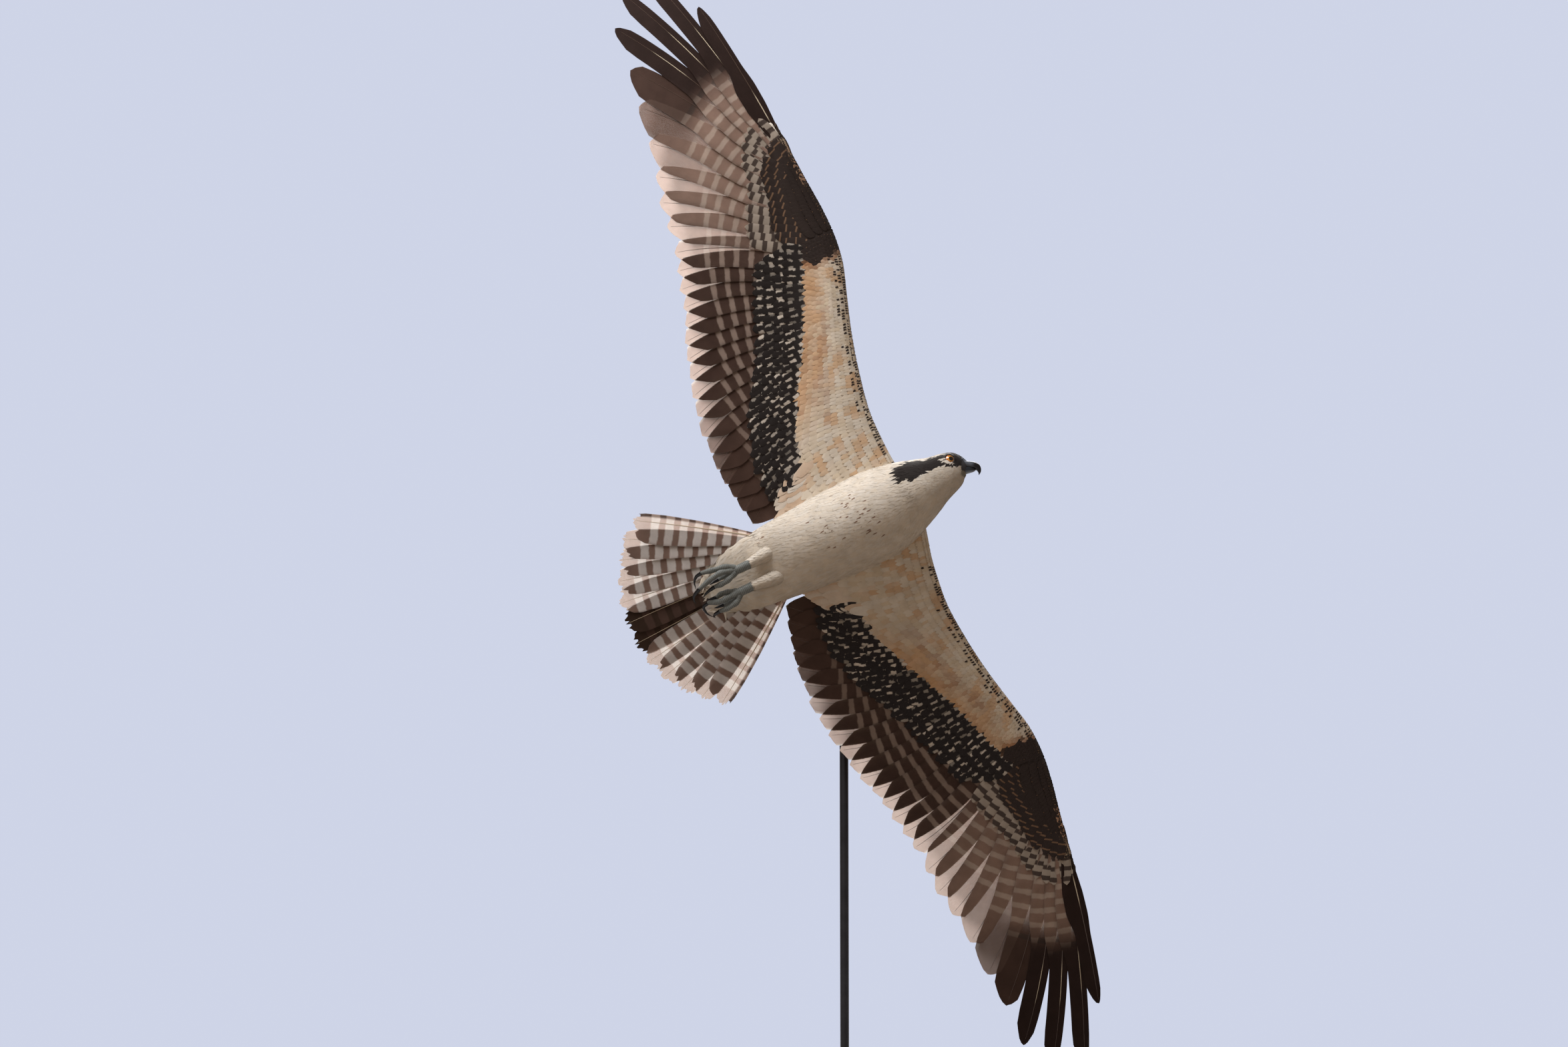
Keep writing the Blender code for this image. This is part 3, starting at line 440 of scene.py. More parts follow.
class GridSurface(Ground):
    """A closed sleeve held as a grid of points and read anywhere between them.

    The first axis runs against the lie of the feathers, from tail to bill. The second runs
    round the sleeve and closes on itself.
    """

    def __init__(self, points: Array) -> None:
        """Keeps the grid, rows by columns by three, with its slopes and outward directions."""
        self.points = points
        self.rows, self.columns = points.shape[:2]
        self.run = np.gradient(points, axis=0)
        self.across = (np.roll(points, -1, 1) - np.roll(points, 1, 1)) / 2
        self.normal = -unit(np.cross(self.run, self.across))

    def read(self, field: Array, u: Array, v: Array) -> Array:
        """Reads a field of the grid at places between its points.

        The value is the mean of the four nearest ones, each weighted by how near it is.

        Args:
            field: Rows by columns by any.
            u: Places along the first axis, in rows.
            v: Places round the sleeve, in columns.

        Returns:
            The values, in the shape of u.
        """
        u, v = np.clip(u, 0, self.rows - 1.000001), v % self.columns
        i, j = np.floor(u).astype(int), np.floor(v).astype(int) % self.columns
        s, t = (u - i)[..., None], (v - np.floor(v))[..., None]
        j1 = (j + 1) % self.columns
        return (
            field[i, j] * (1 - s) * (1 - t) + field[i + 1, j] * s * (1 - t)
            + field[i, j1] * (1 - s) * t + field[i + 1, j1] * s * t
        )

    def at(self, u: Array, v: Array) -> Array:
        """Points of the surface."""
        return self.read(self.points, u, v)

    def lay(self, u: Array, v: Array, turn: Array, back: Array, aside: Array) -> tuple[Array, Array]:
        """Points and outward directions at steps from the places u, v.

        The two steps, turned by the feather's own turn, become steps of the grid through
        the grid's local metric. Past the first row the surface goes straight on.
        """
        cos, sin = np.cos(turn)[:, None, None], np.sin(turn)[:, None, None]
        back, aside = back * cos - aside * sin, back * sin + aside * cos
        run, wide = self.read(self.run, u, v), self.read(self.across, u, v)
        lie = -unit(run)
        cross = unit(np.cross(self.read(self.normal, u, v), lie))
        ee, ef, ff = ((p * q).sum(-1) for p, q in ((run, run), (run, wide), (wide, wide)))
        det = ee * ff - ef**2
        new_u, new_v = u[:, None, None], v[:, None, None]
        for vector, step in ((lie, back), (cross, aside)):
            p, q = (vector * run).sum(-1), (vector * wide).sum(-1)
            new_u = new_u + step * ((ff * p - ef * q) / det)[:, None, None]
            new_v = new_v + step * ((ee * q - ef * p) / det)[:, None, None]
        past = np.abs(np.minimum(new_u, 0)) * np.linalg.norm(run, axis=-1)[:, None, None]
        points = self.at(new_u, new_v) + lie[:, None, None] * past[..., None]
        return points, unit(self.read(self.normal, new_u, new_v))

    def unwrapped(self, u: Array, v: Array) -> Array:
        """The places as a flat map from 0 to 1."""
        return axes((v % self.columns) / self.columns, u / (self.rows - 1))

    def scatter(self, gap: Callable, wide: Callable, span: tuple[float, float],
                seed: int) -> tuple[Array, Array]:
        """Places of feathers in staggered rows round the sleeve.

        Args:
            gap: Distance between rows, from the row.
            wide: Distance across between neighbours, from the row.
            span: First and last row.
            seed: Number of the random series that shifts each place a little.

        Returns:
            Rows and columns of the places.
        """
        random = draws(seed)
        columns = np.arange(self.columns + 1.0)
        step = np.linalg.norm(self.run, axis=-1).mean(1)
        u, found = span[0], []
        while u < span[1]:
            line = np.linalg.norm(self.read(self.across, np.full_like(columns, u), columns), axis=-1)
            dense = line / wide(u)
            total = np.concatenate([[0], np.cumsum((dense[1:] + dense[:-1]) / 2)])
            count = max(int(total[-1]), 3)
            share = (np.arange(count) + 0.5 * (len(found) % 2) + random.uniform(0, 0.3)) / count
            v = np.interp(share % 1.0 * total[-1], total, columns)
            found.append(np.stack([np.full(count, u), v]))
            u += gap(u) / step[min(int(u), self.rows - 1)]
        u, v = np.concatenate(found, axis=1)
        pitch = np.array([gap(row) for row in u]) / step[u.astype(int)]
        return np.clip(u + random.uniform(-0.3, 0.3, len(u)) * pitch, *span), v


class FieldSurface(Ground):
    """A face of a wing or of the tail: a height over a plane, carried to the world."""

    def __init__(self, height: Callable, to_world: Callable, face: Face, box: tuple) -> None:
        """Keeps the height function, the way to the world, the face and the plane's range."""
        self.height, self.to_world, self.face, self.box = height, to_world, face, box

    def at(self, u: Array, v: Array) -> Array:
        """Points of the surface."""
        return self.to_world(axes(u, v, self.height(u, v)))

    def lay(self, u: Array, v: Array, turn: Array, back: Array, aside: Array) -> tuple[Array, Array]:
        """Points and outward directions at steps from the places u, v.

        The lie is along the plane at the feather's own turn, where 0 is along +u and a
        quarter turn is along +v. The outward direction is the cross product of two short
        steps, turned to the face.
        """
        cos, sin = np.cos(turn)[:, None, None], np.sin(turn)[:, None, None]
        x = u[:, None, None] + back * cos - aside * sin
        y = v[:, None, None] + back * sin + aside * cos
        points = self.at(x, y)
        normal = unit(np.cross(self.at(x + MM, y) - points, self.at(x, y + MM) - points))
        away = POSE.bird()[:3, 2] * self.face.value
        return points, normal * np.sign(normal @ away)[..., None]

    def unwrapped(self, u: Array, v: Array) -> Array:
        """The places as a flat map from 0 to 1."""
        (u0, u1), (v0, v1) = self.box
        return np.clip(axes((u - u0) / (u1 - u0), (v - v0) / (v1 - v0)), 0, 1)


@dataclass
class Plumes:
    """Many feathers by their places on a ground, one entry for each feather.

    Ground, mark and tip are colours. Bars hold the first bar's distance to the tip, the
    spacing and the share that a bar takes. Edge holds the width of the tip's band, and the
    half width and reach of the dark streak along the shaft.
    """

    u: Array
    v: Array
    length: Array
    width: Array
    turn: Array
    low: Array
    high: Array
    ground: Array
    mark: Array
    tip: Array
    bars: Array
    edge: Array

    @staticmethod
    def make(u: Array, v: Array, **values: object) -> "Plumes":
        """Feathers at these places, with numbers or rows spread over all of them."""
        plain = {"turn": 0.0, "low": -0.8 * MM, "high": 1.2 * MM, "mark": (0, 0, 0),
                 "tip": (0, 0, 0), "bars": (0.0, 1.0, 0.0), "edge": (0.0, 0.0, 0.0)} | values
        made = {}
        for entry in fields(Plumes)[2:]:
            value = np.asarray(plain[entry.name], float)
            wide = entry.name in ("ground", "mark", "tip", "bars", "edge")
            made[entry.name] = np.broadcast_to(value, (len(u), 3) if wide else (len(u),)).copy()
        return Plumes(u, v, **made)

    def kept(self, choice: Array) -> "Plumes":
        """The set with only the chosen feathers."""
        return Plumes(**{entry.name: getattr(self, entry.name)[choice] for entry in fields(Plumes)})

    @staticmethod
    def joined(parts: Iterable["Plumes"]) -> "Plumes":
        """One set made of several."""
        parts = list(parts)
        return Plumes(**{
            entry.name: np.concatenate([getattr(part, entry.name) for part in parts])
            for entry in fields(Plumes)
        })


@dataclass(frozen=True)
class Vane:
    """What feathers of one kind share: their grid, outline, crown, tip and raggedness."""

    stations: int = 6
    across: int = 5
    root_share: float = 0.5
    fullest: float = 0.55
    tip_share: float = 0.70
    recess: float = 0.25
    ragged: float = 0.06
    crown: float = 0.05
    droop: float = 0.05
    thickness: float = 0.40 * MM

    def outline(self, s: Array) -> Array:
        """Half width over the full half width, at shares s of the length.

        It rises as a sine from the root's share to one at the fullest place, and falls as a
        cosine to the tip's share.
        """
        rise = np.sin(np.clip(s / self.fullest, 0, 1) * math.pi / 2)
        fall = np.cos(np.clip((s - self.fullest) / (1 - self.fullest), 0, 1) * math.pi / 2)
        return np.where(s < self.fullest, self.root_share + (1 - self.root_share) * rise,
                        self.tip_share + (1 - self.tip_share) * fall)

    def section(self) -> tuple[Array, Array]:
        """Places round a section: across from -1 to 1, and 1 on the outer face, -1 within."""
        top = np.linspace(-1, 1, self.across)
        return np.append(top, 0.0), np.append(np.where(np.abs(top) < 1, 1.0, 0.0), -1.0)


def lay_feathers(name: str, ground: Ground, plumes: Plumes, vane: Vane,
                 material: Material, seed: int, patch: float = 0.003) -> Piece:
    """Lays many thin closed feathers on a ground.

    A feather is a grid of s from root to tip by a across it. A point stands back from the
    root by the length times s, less the tip's recess, which grows towards the edges, and
    aside by the outline. Each line of points ends a little sooner or later, so the tip is
    ragged. Its height over the ground goes from low to high along s, with a crown that
    falls off as the square of a, and a thickness that closes at the rims.

    Args:
        name: Name of the piece.
        ground: What the feathers lie on.
        plumes: The feathers.
        vane: Their shared shape.
        material: Their finish.
        seed: Number of the random series for the ragged tips.
        patch: Size of each feather's patch on the bake map.

    Returns:
        The piece.
    """
    a, face = vane.section()
    s = np.linspace(0, 1, vane.stations) ** 0.85
    s, a = np.meshgrid(s, a, indexing="ij")
    count = len(plumes.u)
    random = draws(seed)
    uneven = 1 - vane.ragged * random.uniform(0, 1, (count, 1, a.shape[1])) ** 2
    uneven[..., -1] = uneven[..., vane.across // 2]
    reach = s * (1 - vane.recess * np.abs(a) ** 1.8) * uneven
    length, width = plumes.length[:, None, None], plumes.width[:, None, None]
    points, normal = ground.lay(plumes.u, plumes.v, plumes.turn, length * reach,
                                width / 2 * vane.outline(s) * a)
    low, high = plumes.low[:, None, None], plumes.high[:, None, None]
    height = low + (high - low) * s**0.8 + vane.thickness / 2 * face * (1 - 0.6 * s)
    height = height + width * (vane.crown * (1 - a**2) - vane.droop * a**2) * s
    points = points + normal * height[..., None]
    rings, around = s.shape
    faces = many_tubes(count, rings, around, vane.across)
    obj = Meshwork(name, points, faces).build(material)
    place = axes(a, length * (1 - reach), length * reach)
    set_values(obj, "place", place)
    for kind in ("ground", "mark", "tip", "bars", "edge"):
        set_values(obj, kind, np.broadcast_to(getattr(plumes, kind)[:, None, None], place.shape))
    bake_patches(obj, ground.unwrapped(plumes.u, plumes.v) * (1 - patch), patch, rings, around)
    return obj


def bake_patches(obj: Piece, corner: Array, size: float | Array, rings: int,
                 around: int) -> None:
    """Gives each tube of a piece its own patch of the bake map.

    Round the tube the map goes from 0 to 1, and the last strip ends at 1 and not at 0, so no
    face lies over another.

    Args:
        obj: The piece, made of equal tubes and then their ends.
        corner: Lowest corner of each tube's patch.
        size: Size of a patch, one number or two.
        rings: Rings in a tube.
        around: Points in a ring.
    """
    index = corner_points(obj)
    number, inside = np.divmod(index, rings * around)
    ring, turn = np.divmod(inside, around)
    quads = len(corner) * (rings - 1) * around * 4
    group = turn[:quads].reshape(-1, 4)
    closing = (group.max(1) == around - 1) & (group.min(1) == 0)
    turn[:quads] = np.where(closing[:, None] & (group == 0), around, group).reshape(-1)
    place = axes(turn / around, ring / (rings - 1))
    set_bake_map(obj, corner[number] + place * np.asarray(size))


class Nodes:
    """Makes one material, and adds and links its nodes."""

    def __init__(self, name: str, roughness: float, **plain: object) -> None:
        """Makes the material, with the shader's own plain values by socket name."""
        self.material = bpy.data.materials.new(name)
        self.material.use_nodes = True
        self.tree = self.material.node_tree
        self.shader = self.tree.nodes["Principled BSDF"]
        self.shader.inputs["Roughness"].default_value = roughness
        for socket, value in plain.items():
            self.shader.inputs[socket.replace("_", " ")].default_value = value

    def add(self, kind: str, inputs: dict | None = None, **settings: object) -> bpy.types.Node:
        """A node of this kind, with its settings, and with its inputs set or linked."""
        node = self.tree.nodes.new(kind)
        for name, value in settings.items():
            setattr(node, name, value)
        for name, value in (inputs or {}).items():
            self.feed(node.inputs[name], value)
        return node

    def feed(self, socket: Socket, value: object) -> None:
        """Links a socket to an output, or sets its number or colour."""
        if isinstance(value, Socket):
            self.tree.links.new(value, socket)
        elif np.size(value) == 3 and socket.type == "RGBA":
            socket.default_value = (*value, 1.0)
        else:
            socket.default_value = value

    def math(self, operation: str, *values: object) -> Socket:
        """The result of one sum on numbers or outputs."""
        return self.add("ShaderNodeMath", dict(enumerate(values)), operation=operation).outputs[0]

    def value(self, name: str) -> Socket:
        """A number that the mesh holds for each point."""
        return self.add("ShaderNodeAttribute", attribute_name=name).outputs["Fac"]

    def tone(self, name: str) -> Socket:
        """A colour that the mesh holds for each point."""
        return self.add("ShaderNodeAttribute", attribute_name=name).outputs["Color"]

    def three(self, name: str) -> list[Socket]:
        """The three numbers of a vector that the mesh holds for each point."""
        vector = self.add("ShaderNodeAttribute", attribute_name=name).outputs["Vector"]
        return list(self.add("ShaderNodeSeparateXYZ", {"Vector": vector}).outputs)

    def mix(self, factor: object, first: object, second: object,
            kind: str = "MIX") -> Socket:
        """A mix of two colours."""
        node = self.add("ShaderNodeMix", data_type="RGBA", blend_type=kind)
        for number, value in ((0, factor), (6, first), (7, second)):
            self.feed(node.inputs[number], value)
        return node.outputs[2]

    def step(self, value: object, low: float, high: float, start: float = 0.0,
             end: float = 1.0) -> Socket:
        """A soft step of a value, from start at low to end at high."""
        inputs = {"Value": value, "From Min": low, "From Max": high, "To Min": start, "To Max": end}
        return self.add("ShaderNodeMapRange", inputs, interpolation_type="SMOOTHSTEP").outputs[0]

    def noise(self, scale: float, detail: float = 2.0,
              stretch: Sequence | None = None) -> Socket:
        """A noise over the object's own coordinates, which may be stretched."""
        vector = self.add("ShaderNodeTexCoord").outputs["Object"]
        if stretch is not None:
            vector = self.add("ShaderNodeMapping", {"Vector": vector, "Scale": stretch}).outputs[0]
        return self.add("ShaderNodeTexNoise",
                        {"Vector": vector, "Scale": scale, "Detail": detail}).outputs["Fac"]

    def wander(self, scale: float, span: float) -> Socket:
        """A noise about zero, over this span."""
        return self.math("MULTIPLY", self.math("SUBTRACT", self.noise(scale), 0.5), span)

    def mottle(self, scale: float, low: float, high: float, detail: float = 3.0) -> Socket:
        """A soft noise between two numbers."""
        return self.step(self.noise(scale, detail), 0.3, 0.7, low, high)

    def shaded(self, base: object, shade: Socket) -> Socket:
        """A colour made lighter or darker by a number."""
        grey = self.add("ShaderNodeCombineColor", {"Red": shade, "Green": shade, "Blue": shade})
        return self.mix(1.0, base, grey.outputs[0], "MULTIPLY")

    def finish(self, base: object, height: Socket | None = None,
               depth: float = 0.1 * MM) -> Material:
        """Feeds colour, and relief of this depth, to the shader and hands the material over."""
        self.feed(self.shader.inputs["Base Color"], base)
        if height is not None:
            bump = self.add("ShaderNodeBump", {"Height": height, "Distance": depth})
            self.feed(self.shader.inputs["Normal"], bump.outputs["Normal"])
        return self.material

    def bar(self, warp: float) -> Socket:
        """1 on a feather's bars and 0 between them.

        The distance to the tip less the first bar's, bent by a noise, is divided by the
        spacing; its fraction's distance from a half is compared with half the bar's share.
        """
        _, to_tip, _ = self.three("place")
        first, spacing, share = self.three("bars")
        past = self.math("ADD", self.math("SUBTRACT", to_tip, first), self.wander(110.0, warp))
        phase = self.math("FRACT", self.math("DIVIDE", past, spacing))
        middle = self.math("ABSOLUTE", self.math("SUBTRACT", phase, 0.5))
        inner = self.math("SUBTRACT", middle, self.math("MULTIPLY", share, 0.5))
        shown = self.step(inner, -0.06, 0.06, 1.0, 0.0)
        started = self.step(past, -0.4 * MM, 0.8 * MM)
        return self.math("MULTIPLY", shown, started)

    def barbs(self, spacing: float, slant: float) -> Socket:
        """Waves from -1 to 1 that slant away from the shaft towards the tip."""
        across, _, from_root = self.three("place")
        back = self.math("MULTIPLY", self.math("ABSOLUTE", across), slant)
        run = self.math("SUBTRACT", from_root, back)
        return self.math("SINE", self.math("MULTIPLY", run, 2 * math.pi / spacing))


@dataclass(frozen=True)
class PlumageFinish:
    """Body feathers and coverts: ground, bars, a shaft streak, a tip band, barbs and mottle."""

    name: str
    roughness: float = 0.75
    barb_spacing: float = 1.0 * MM
    barb_shade: float = 0.10
    slant: float = 3.0 * MM
    mottle: float = 0.08
    sheen: float = 0.15
    split: float = 0.0

    def material(self) -> Material:
        """The material that reads each feather's own values."""
        n = Nodes(self.name, self.roughness, Sheen_Weight=self.sheen, Specular_IOR_Level=0.2)
        across, to_tip, _ = n.three("place")
        band, streak, streak_reach = n.three("edge")
        bars = n.bar(3 * MM)
        if self.split:
            aside = n.math("ADD", n.math("ABSOLUTE", across), n.wander(260.0, 0.6))
            bars = n.math("MULTIPLY", bars, n.step(aside, self.split - 0.08, self.split + 0.08))
        base = n.mix(bars, n.tone("ground"), n.tone("mark"))
        beside = n.math("ADD", n.math("ABSOLUTE", across), n.wander(500.0, 0.5))
        beside = n.math("SUBTRACT", beside, streak)
        short = n.math("SUBTRACT", to_tip, streak_reach)
        along_shaft = n.math("MULTIPLY", n.step(beside, -0.08, 0.08, 1.0, 0.0),
                             n.step(short, -1.0 * MM, 1.0 * MM, 1.0, 0.0))
        has_streak = n.math("GREATER_THAN", streak, 0.01)
        base = n.mix(n.math("MULTIPLY", along_shaft, has_streak), base, n.tone("mark"))
        fringe = n.math("SUBTRACT", to_tip, band)
        tipped = n.math("MULTIPLY", n.step(fringe, -0.4 * MM, 0.5 * MM, 1.0, 0.0),
                        n.math("GREATER_THAN", band, 0.05 * MM))
        base = n.mix(tipped, base, n.tone("tip"))
        barb = n.barbs(self.barb_spacing, self.slant)
        shade = n.math("ADD", n.math("MULTIPLY", barb, self.barb_shade / 2),
                       n.mottle(60.0, 1 - self.mottle, 1 + self.mottle))
        height = n.math("ADD", n.math("MULTIPLY", barb, 0.5), n.noise(1200.0, 1.0))
        return n.finish(n.shaded(base, shade), height, 0.05 * MM)


@dataclass(frozen=True)
class FlightFinish:
    """Flight and tail feathers, with painted light: pale where light shines through a single vane, darker
    in painted shade where two lie together.
    """

    name: str
    roughness: float = 0.60

    def material(self) -> Material:
        """The material that reads each feather's own values.

        Cover is how far a point lies inside the stretch that the next feather backs. There the darker
        colours are painted shade; outside it the pale single-vane colours are painted light shining
        through from behind. Light from behind also passes through the vane where it is pale.
        """
        n = Nodes(self.name, self.roughness, Specular_IOR_Level=0.05,
                  Subsurface_Radius=(1, 1, 1), Subsurface_Scale=3 * MM)
        n.feed(n.shader.inputs["Subsurface Weight"], n.step(n.three("thin")[0], 0.09, 0.42, 0.0, 0.7))
        bar = n.bar(4 * MM)
        backed_in_painted_shade = n.mix(bar, n.tone("ground"), n.tone("mark"))
        single = n.mix(bar, n.tone("thin"), n.tone("thin_mark"))
        cover = n.math("ADD", n.value("cover"), n.wander(420.0, 1.4 * MM))
        # Painted light and shade: the pale single-vane colours stand for light shining through one vane,
        # and the darker ones for shade where another feather lies behind it.
        base = n.mix(n.step(cover, -0.5 * MM, 0.6 * MM), single, backed_in_painted_shade)
        barb = n.barbs(1.15 * MM, 9 * MM)
        shade = n.math("ADD", n.math("MULTIPLY", barb, 0.045), n.mottle(50.0, 0.90, 1.08))
        return n.finish(n.shaded(base, shade), barb, 0.03 * MM)


@dataclass(frozen=True)
class PlainFinish:
    """A surface whose colour the mesh holds, with fine relief."""

    name: str
    roughness: float = 0.7
    grain: float = 600.0
    depth: float = 0.1 * MM
    mottle: float = 0.08
    coat: float = 0.0

    def material(self) -> Material:
        """The material that reads the mesh's own colour."""
        n = Nodes(self.name, self.roughness, Coat_Weight=self.coat, Coat_Roughness=0.15)
        shade = n.mottle(self.grain / 8, 1 - self.mottle, 1 + self.mottle)
        return n.finish(n.shaded(n.tone("ground"), shade), n.noise(self.grain, 2.0), self.depth)


@dataclass(frozen=True)
class ScaledSkinFinish:
    """Bare skin of the feet: scutes across the toes over fine scales."""

    name: str
    scute: float = 2.3 * MM

    def material(self) -> Material:
        """The material that reads the run along each toe."""
        n = Nodes(self.name, 0.48, Coat_Weight=0.12, Coat_Roughness=0.4)
        run = n.value("run")
        wave = n.math("ABSOLUTE", n.math("SINE", n.math("MULTIPLY", run, math.pi / self.scute)))
        groove = n.step(wave, 0.0, 0.45)
        scales = n.add("ShaderNodeTexVoronoi", {"Scale": 900.0}, feature="DISTANCE_TO_EDGE")
        fine = n.step(scales.outputs[0], 0.0, 0.12)
        base = n.mix(groove, colour(62, 66, 64), colour(138, 143, 140))
        shade = n.math("MULTIPLY", n.mottle(120.0, 0.82, 1.1), n.step(fine, 0.0, 1.0, 0.88, 1.02))
        height = n.math("ADD", groove, n.math("MULTIPLY", fine, 0.3))
        return n.finish(n.shaded(base, shade), height, 0.35 * MM)


@dataclass(frozen=True)
class HornFinish:
    """Horn of bill and claws: smooth, with fine lines along it."""

    name: str
    roughness: float = 0.42

    def material(self) -> Material:
        """The material that reads the mesh's own colour."""
        n = Nodes(self.name, self.roughness, Specular_IOR_Level=0.3)
        lines = n.noise(260.0, 3.0, (0.3, 1.0, 1.0))
        shade = n.mottle(90.0, 0.85, 1.12)
        return n.finish(n.shaded(n.tone("ground"), shade), lines, 0.12 * MM)


@dataclass(frozen=True)
class EyeFinish:
    """A wet eyeball: pupil, streaked iris and dark rim, by the angle from its axis."""

    name: str = "eye_wet"

    def material(self) -> Material:
        """The material that reads the angle from the axis in degrees."""
        n = Nodes(self.name, 0.06, Coat_Weight=1.0, Coat_Roughness=0.02)
        angle = n.value("angle")
        streaks = n.noise(520.0, 3.0)
        iris = n.mix(n.step(streaks, 0.35, 0.65), colour(196, 92, 22), colour(226, 136, 44))
        iris = n.mix(n.step(angle, 27.0, 40.0), colour(236, 160, 66), iris)
        base = n.mix(n.step(angle, 21.0, 23.0), colour(8, 7, 7), iris)
        base = n.mix(n.step(angle, 48.0, 53.0), base, colour(22, 16, 13))
        return n.finish(base)


@dataclass(frozen=True)
class SteelFinish:
    """Dark coated steel of the stand, with a fine satin grain."""

    name: str = "stand_steel"

    def material(self) -> Material:
        """The material of the base and the rod."""
        n = Nodes(self.name, 0.42, Metallic=0.85)
        shade = n.mottle(35.0, 0.85, 1.15, 4.0)
        return n.finish(n.shaded(colour(58, 58, 62), shade), n.noise(1500.0, 2.0), 0.03 * MM)


@dataclass(frozen=True)
class StudioFinish:
    """Matt pale paint of the floor."""

    name: str = "studio_floor"

    def material(self) -> Material:
        """The floor's material."""
        n = Nodes(self.name, 0.9)
        return n.finish(n.shaded(colour(226, 226, 230), n.mottle(3.0, 0.97, 1.0, 2.0)))


class Tones:
    """Colours of the plumage, as linear light."""

    WHITE = colour(232, 224, 212)
    SPOT = colour(206, 196, 184)
    CREAM = colour(222, 202, 172)
    BUFF = colour(212, 166, 120)
    RUFOUS = colour(158, 104, 66)
    BROWN = colour(62, 48, 40)
    DARK = colour(48, 37, 33)
    BLACK = colour(34, 27, 25)
    FRINGE = colour(196, 172, 140)
    BLADE = colour(80, 62, 55)
    SQUARE = colour(156, 137, 126)
    # Painted light: the pink glow of light shining through a single flight-feather vane.
    BACKLIT_PINK = colour(184, 148, 134)
    TAN = colour(150, 126, 114)
    FINGER = colour(50, 38, 35)
    QUILL = colour(228, 214, 188)


class Finishes:
    """Every material of the bird, made once."""

    def __init__(self) -> None:
        """Makes the materials."""
        self.contour = PlumageFinish("contour_feathers", barb_spacing=0.8 * MM, barb_shade=0.08).material()
        self.covert = PlumageFinish("covert_feathers", barb_shade=0.04).material()
        self.spotted = PlumageFinish("spotted_coverts", barb_shade=0.06, split=0.42).material()
        self.facial = PlumageFinish("facial_feathers", barb_spacing=0.6 * MM, barb_shade=0.10).material()
        self.flight = FlightFinish("flight_feathers").material()
        self.shaft = PlainFinish("feather_shafts", roughness=0.35, coat=0.2, mottle=0.04).material()
        self.skin = PlainFinish("skin_under_down", roughness=0.9, grain=300.0, mottle=0.12).material()
        self.lid = PlainFinish("eyelid_skin", roughness=0.5, grain=1500.0, depth=0.2 * MM).material()
        self.scales = ScaledSkinFinish("foot_scales").material()
        self.horn = HornFinish("bill_horn").material()
        self.claw = HornFinish("claw_horn", roughness=0.22).material()
        self.eye = EyeFinish().material()
        self.steel = SteelFinish().material()
        self.floor = StudioFinish().material()


def placed(obj: Piece, slot: str, *nodes: str) -> Piece:
    """Makes a piece part of the bird, standing for these solids, and reports it."""
    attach(obj, BODY)
    if nodes:
        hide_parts(*nodes)
    LOG.info("%s: %d faces", obj.name, len(obj.data.polygons))
    return obj


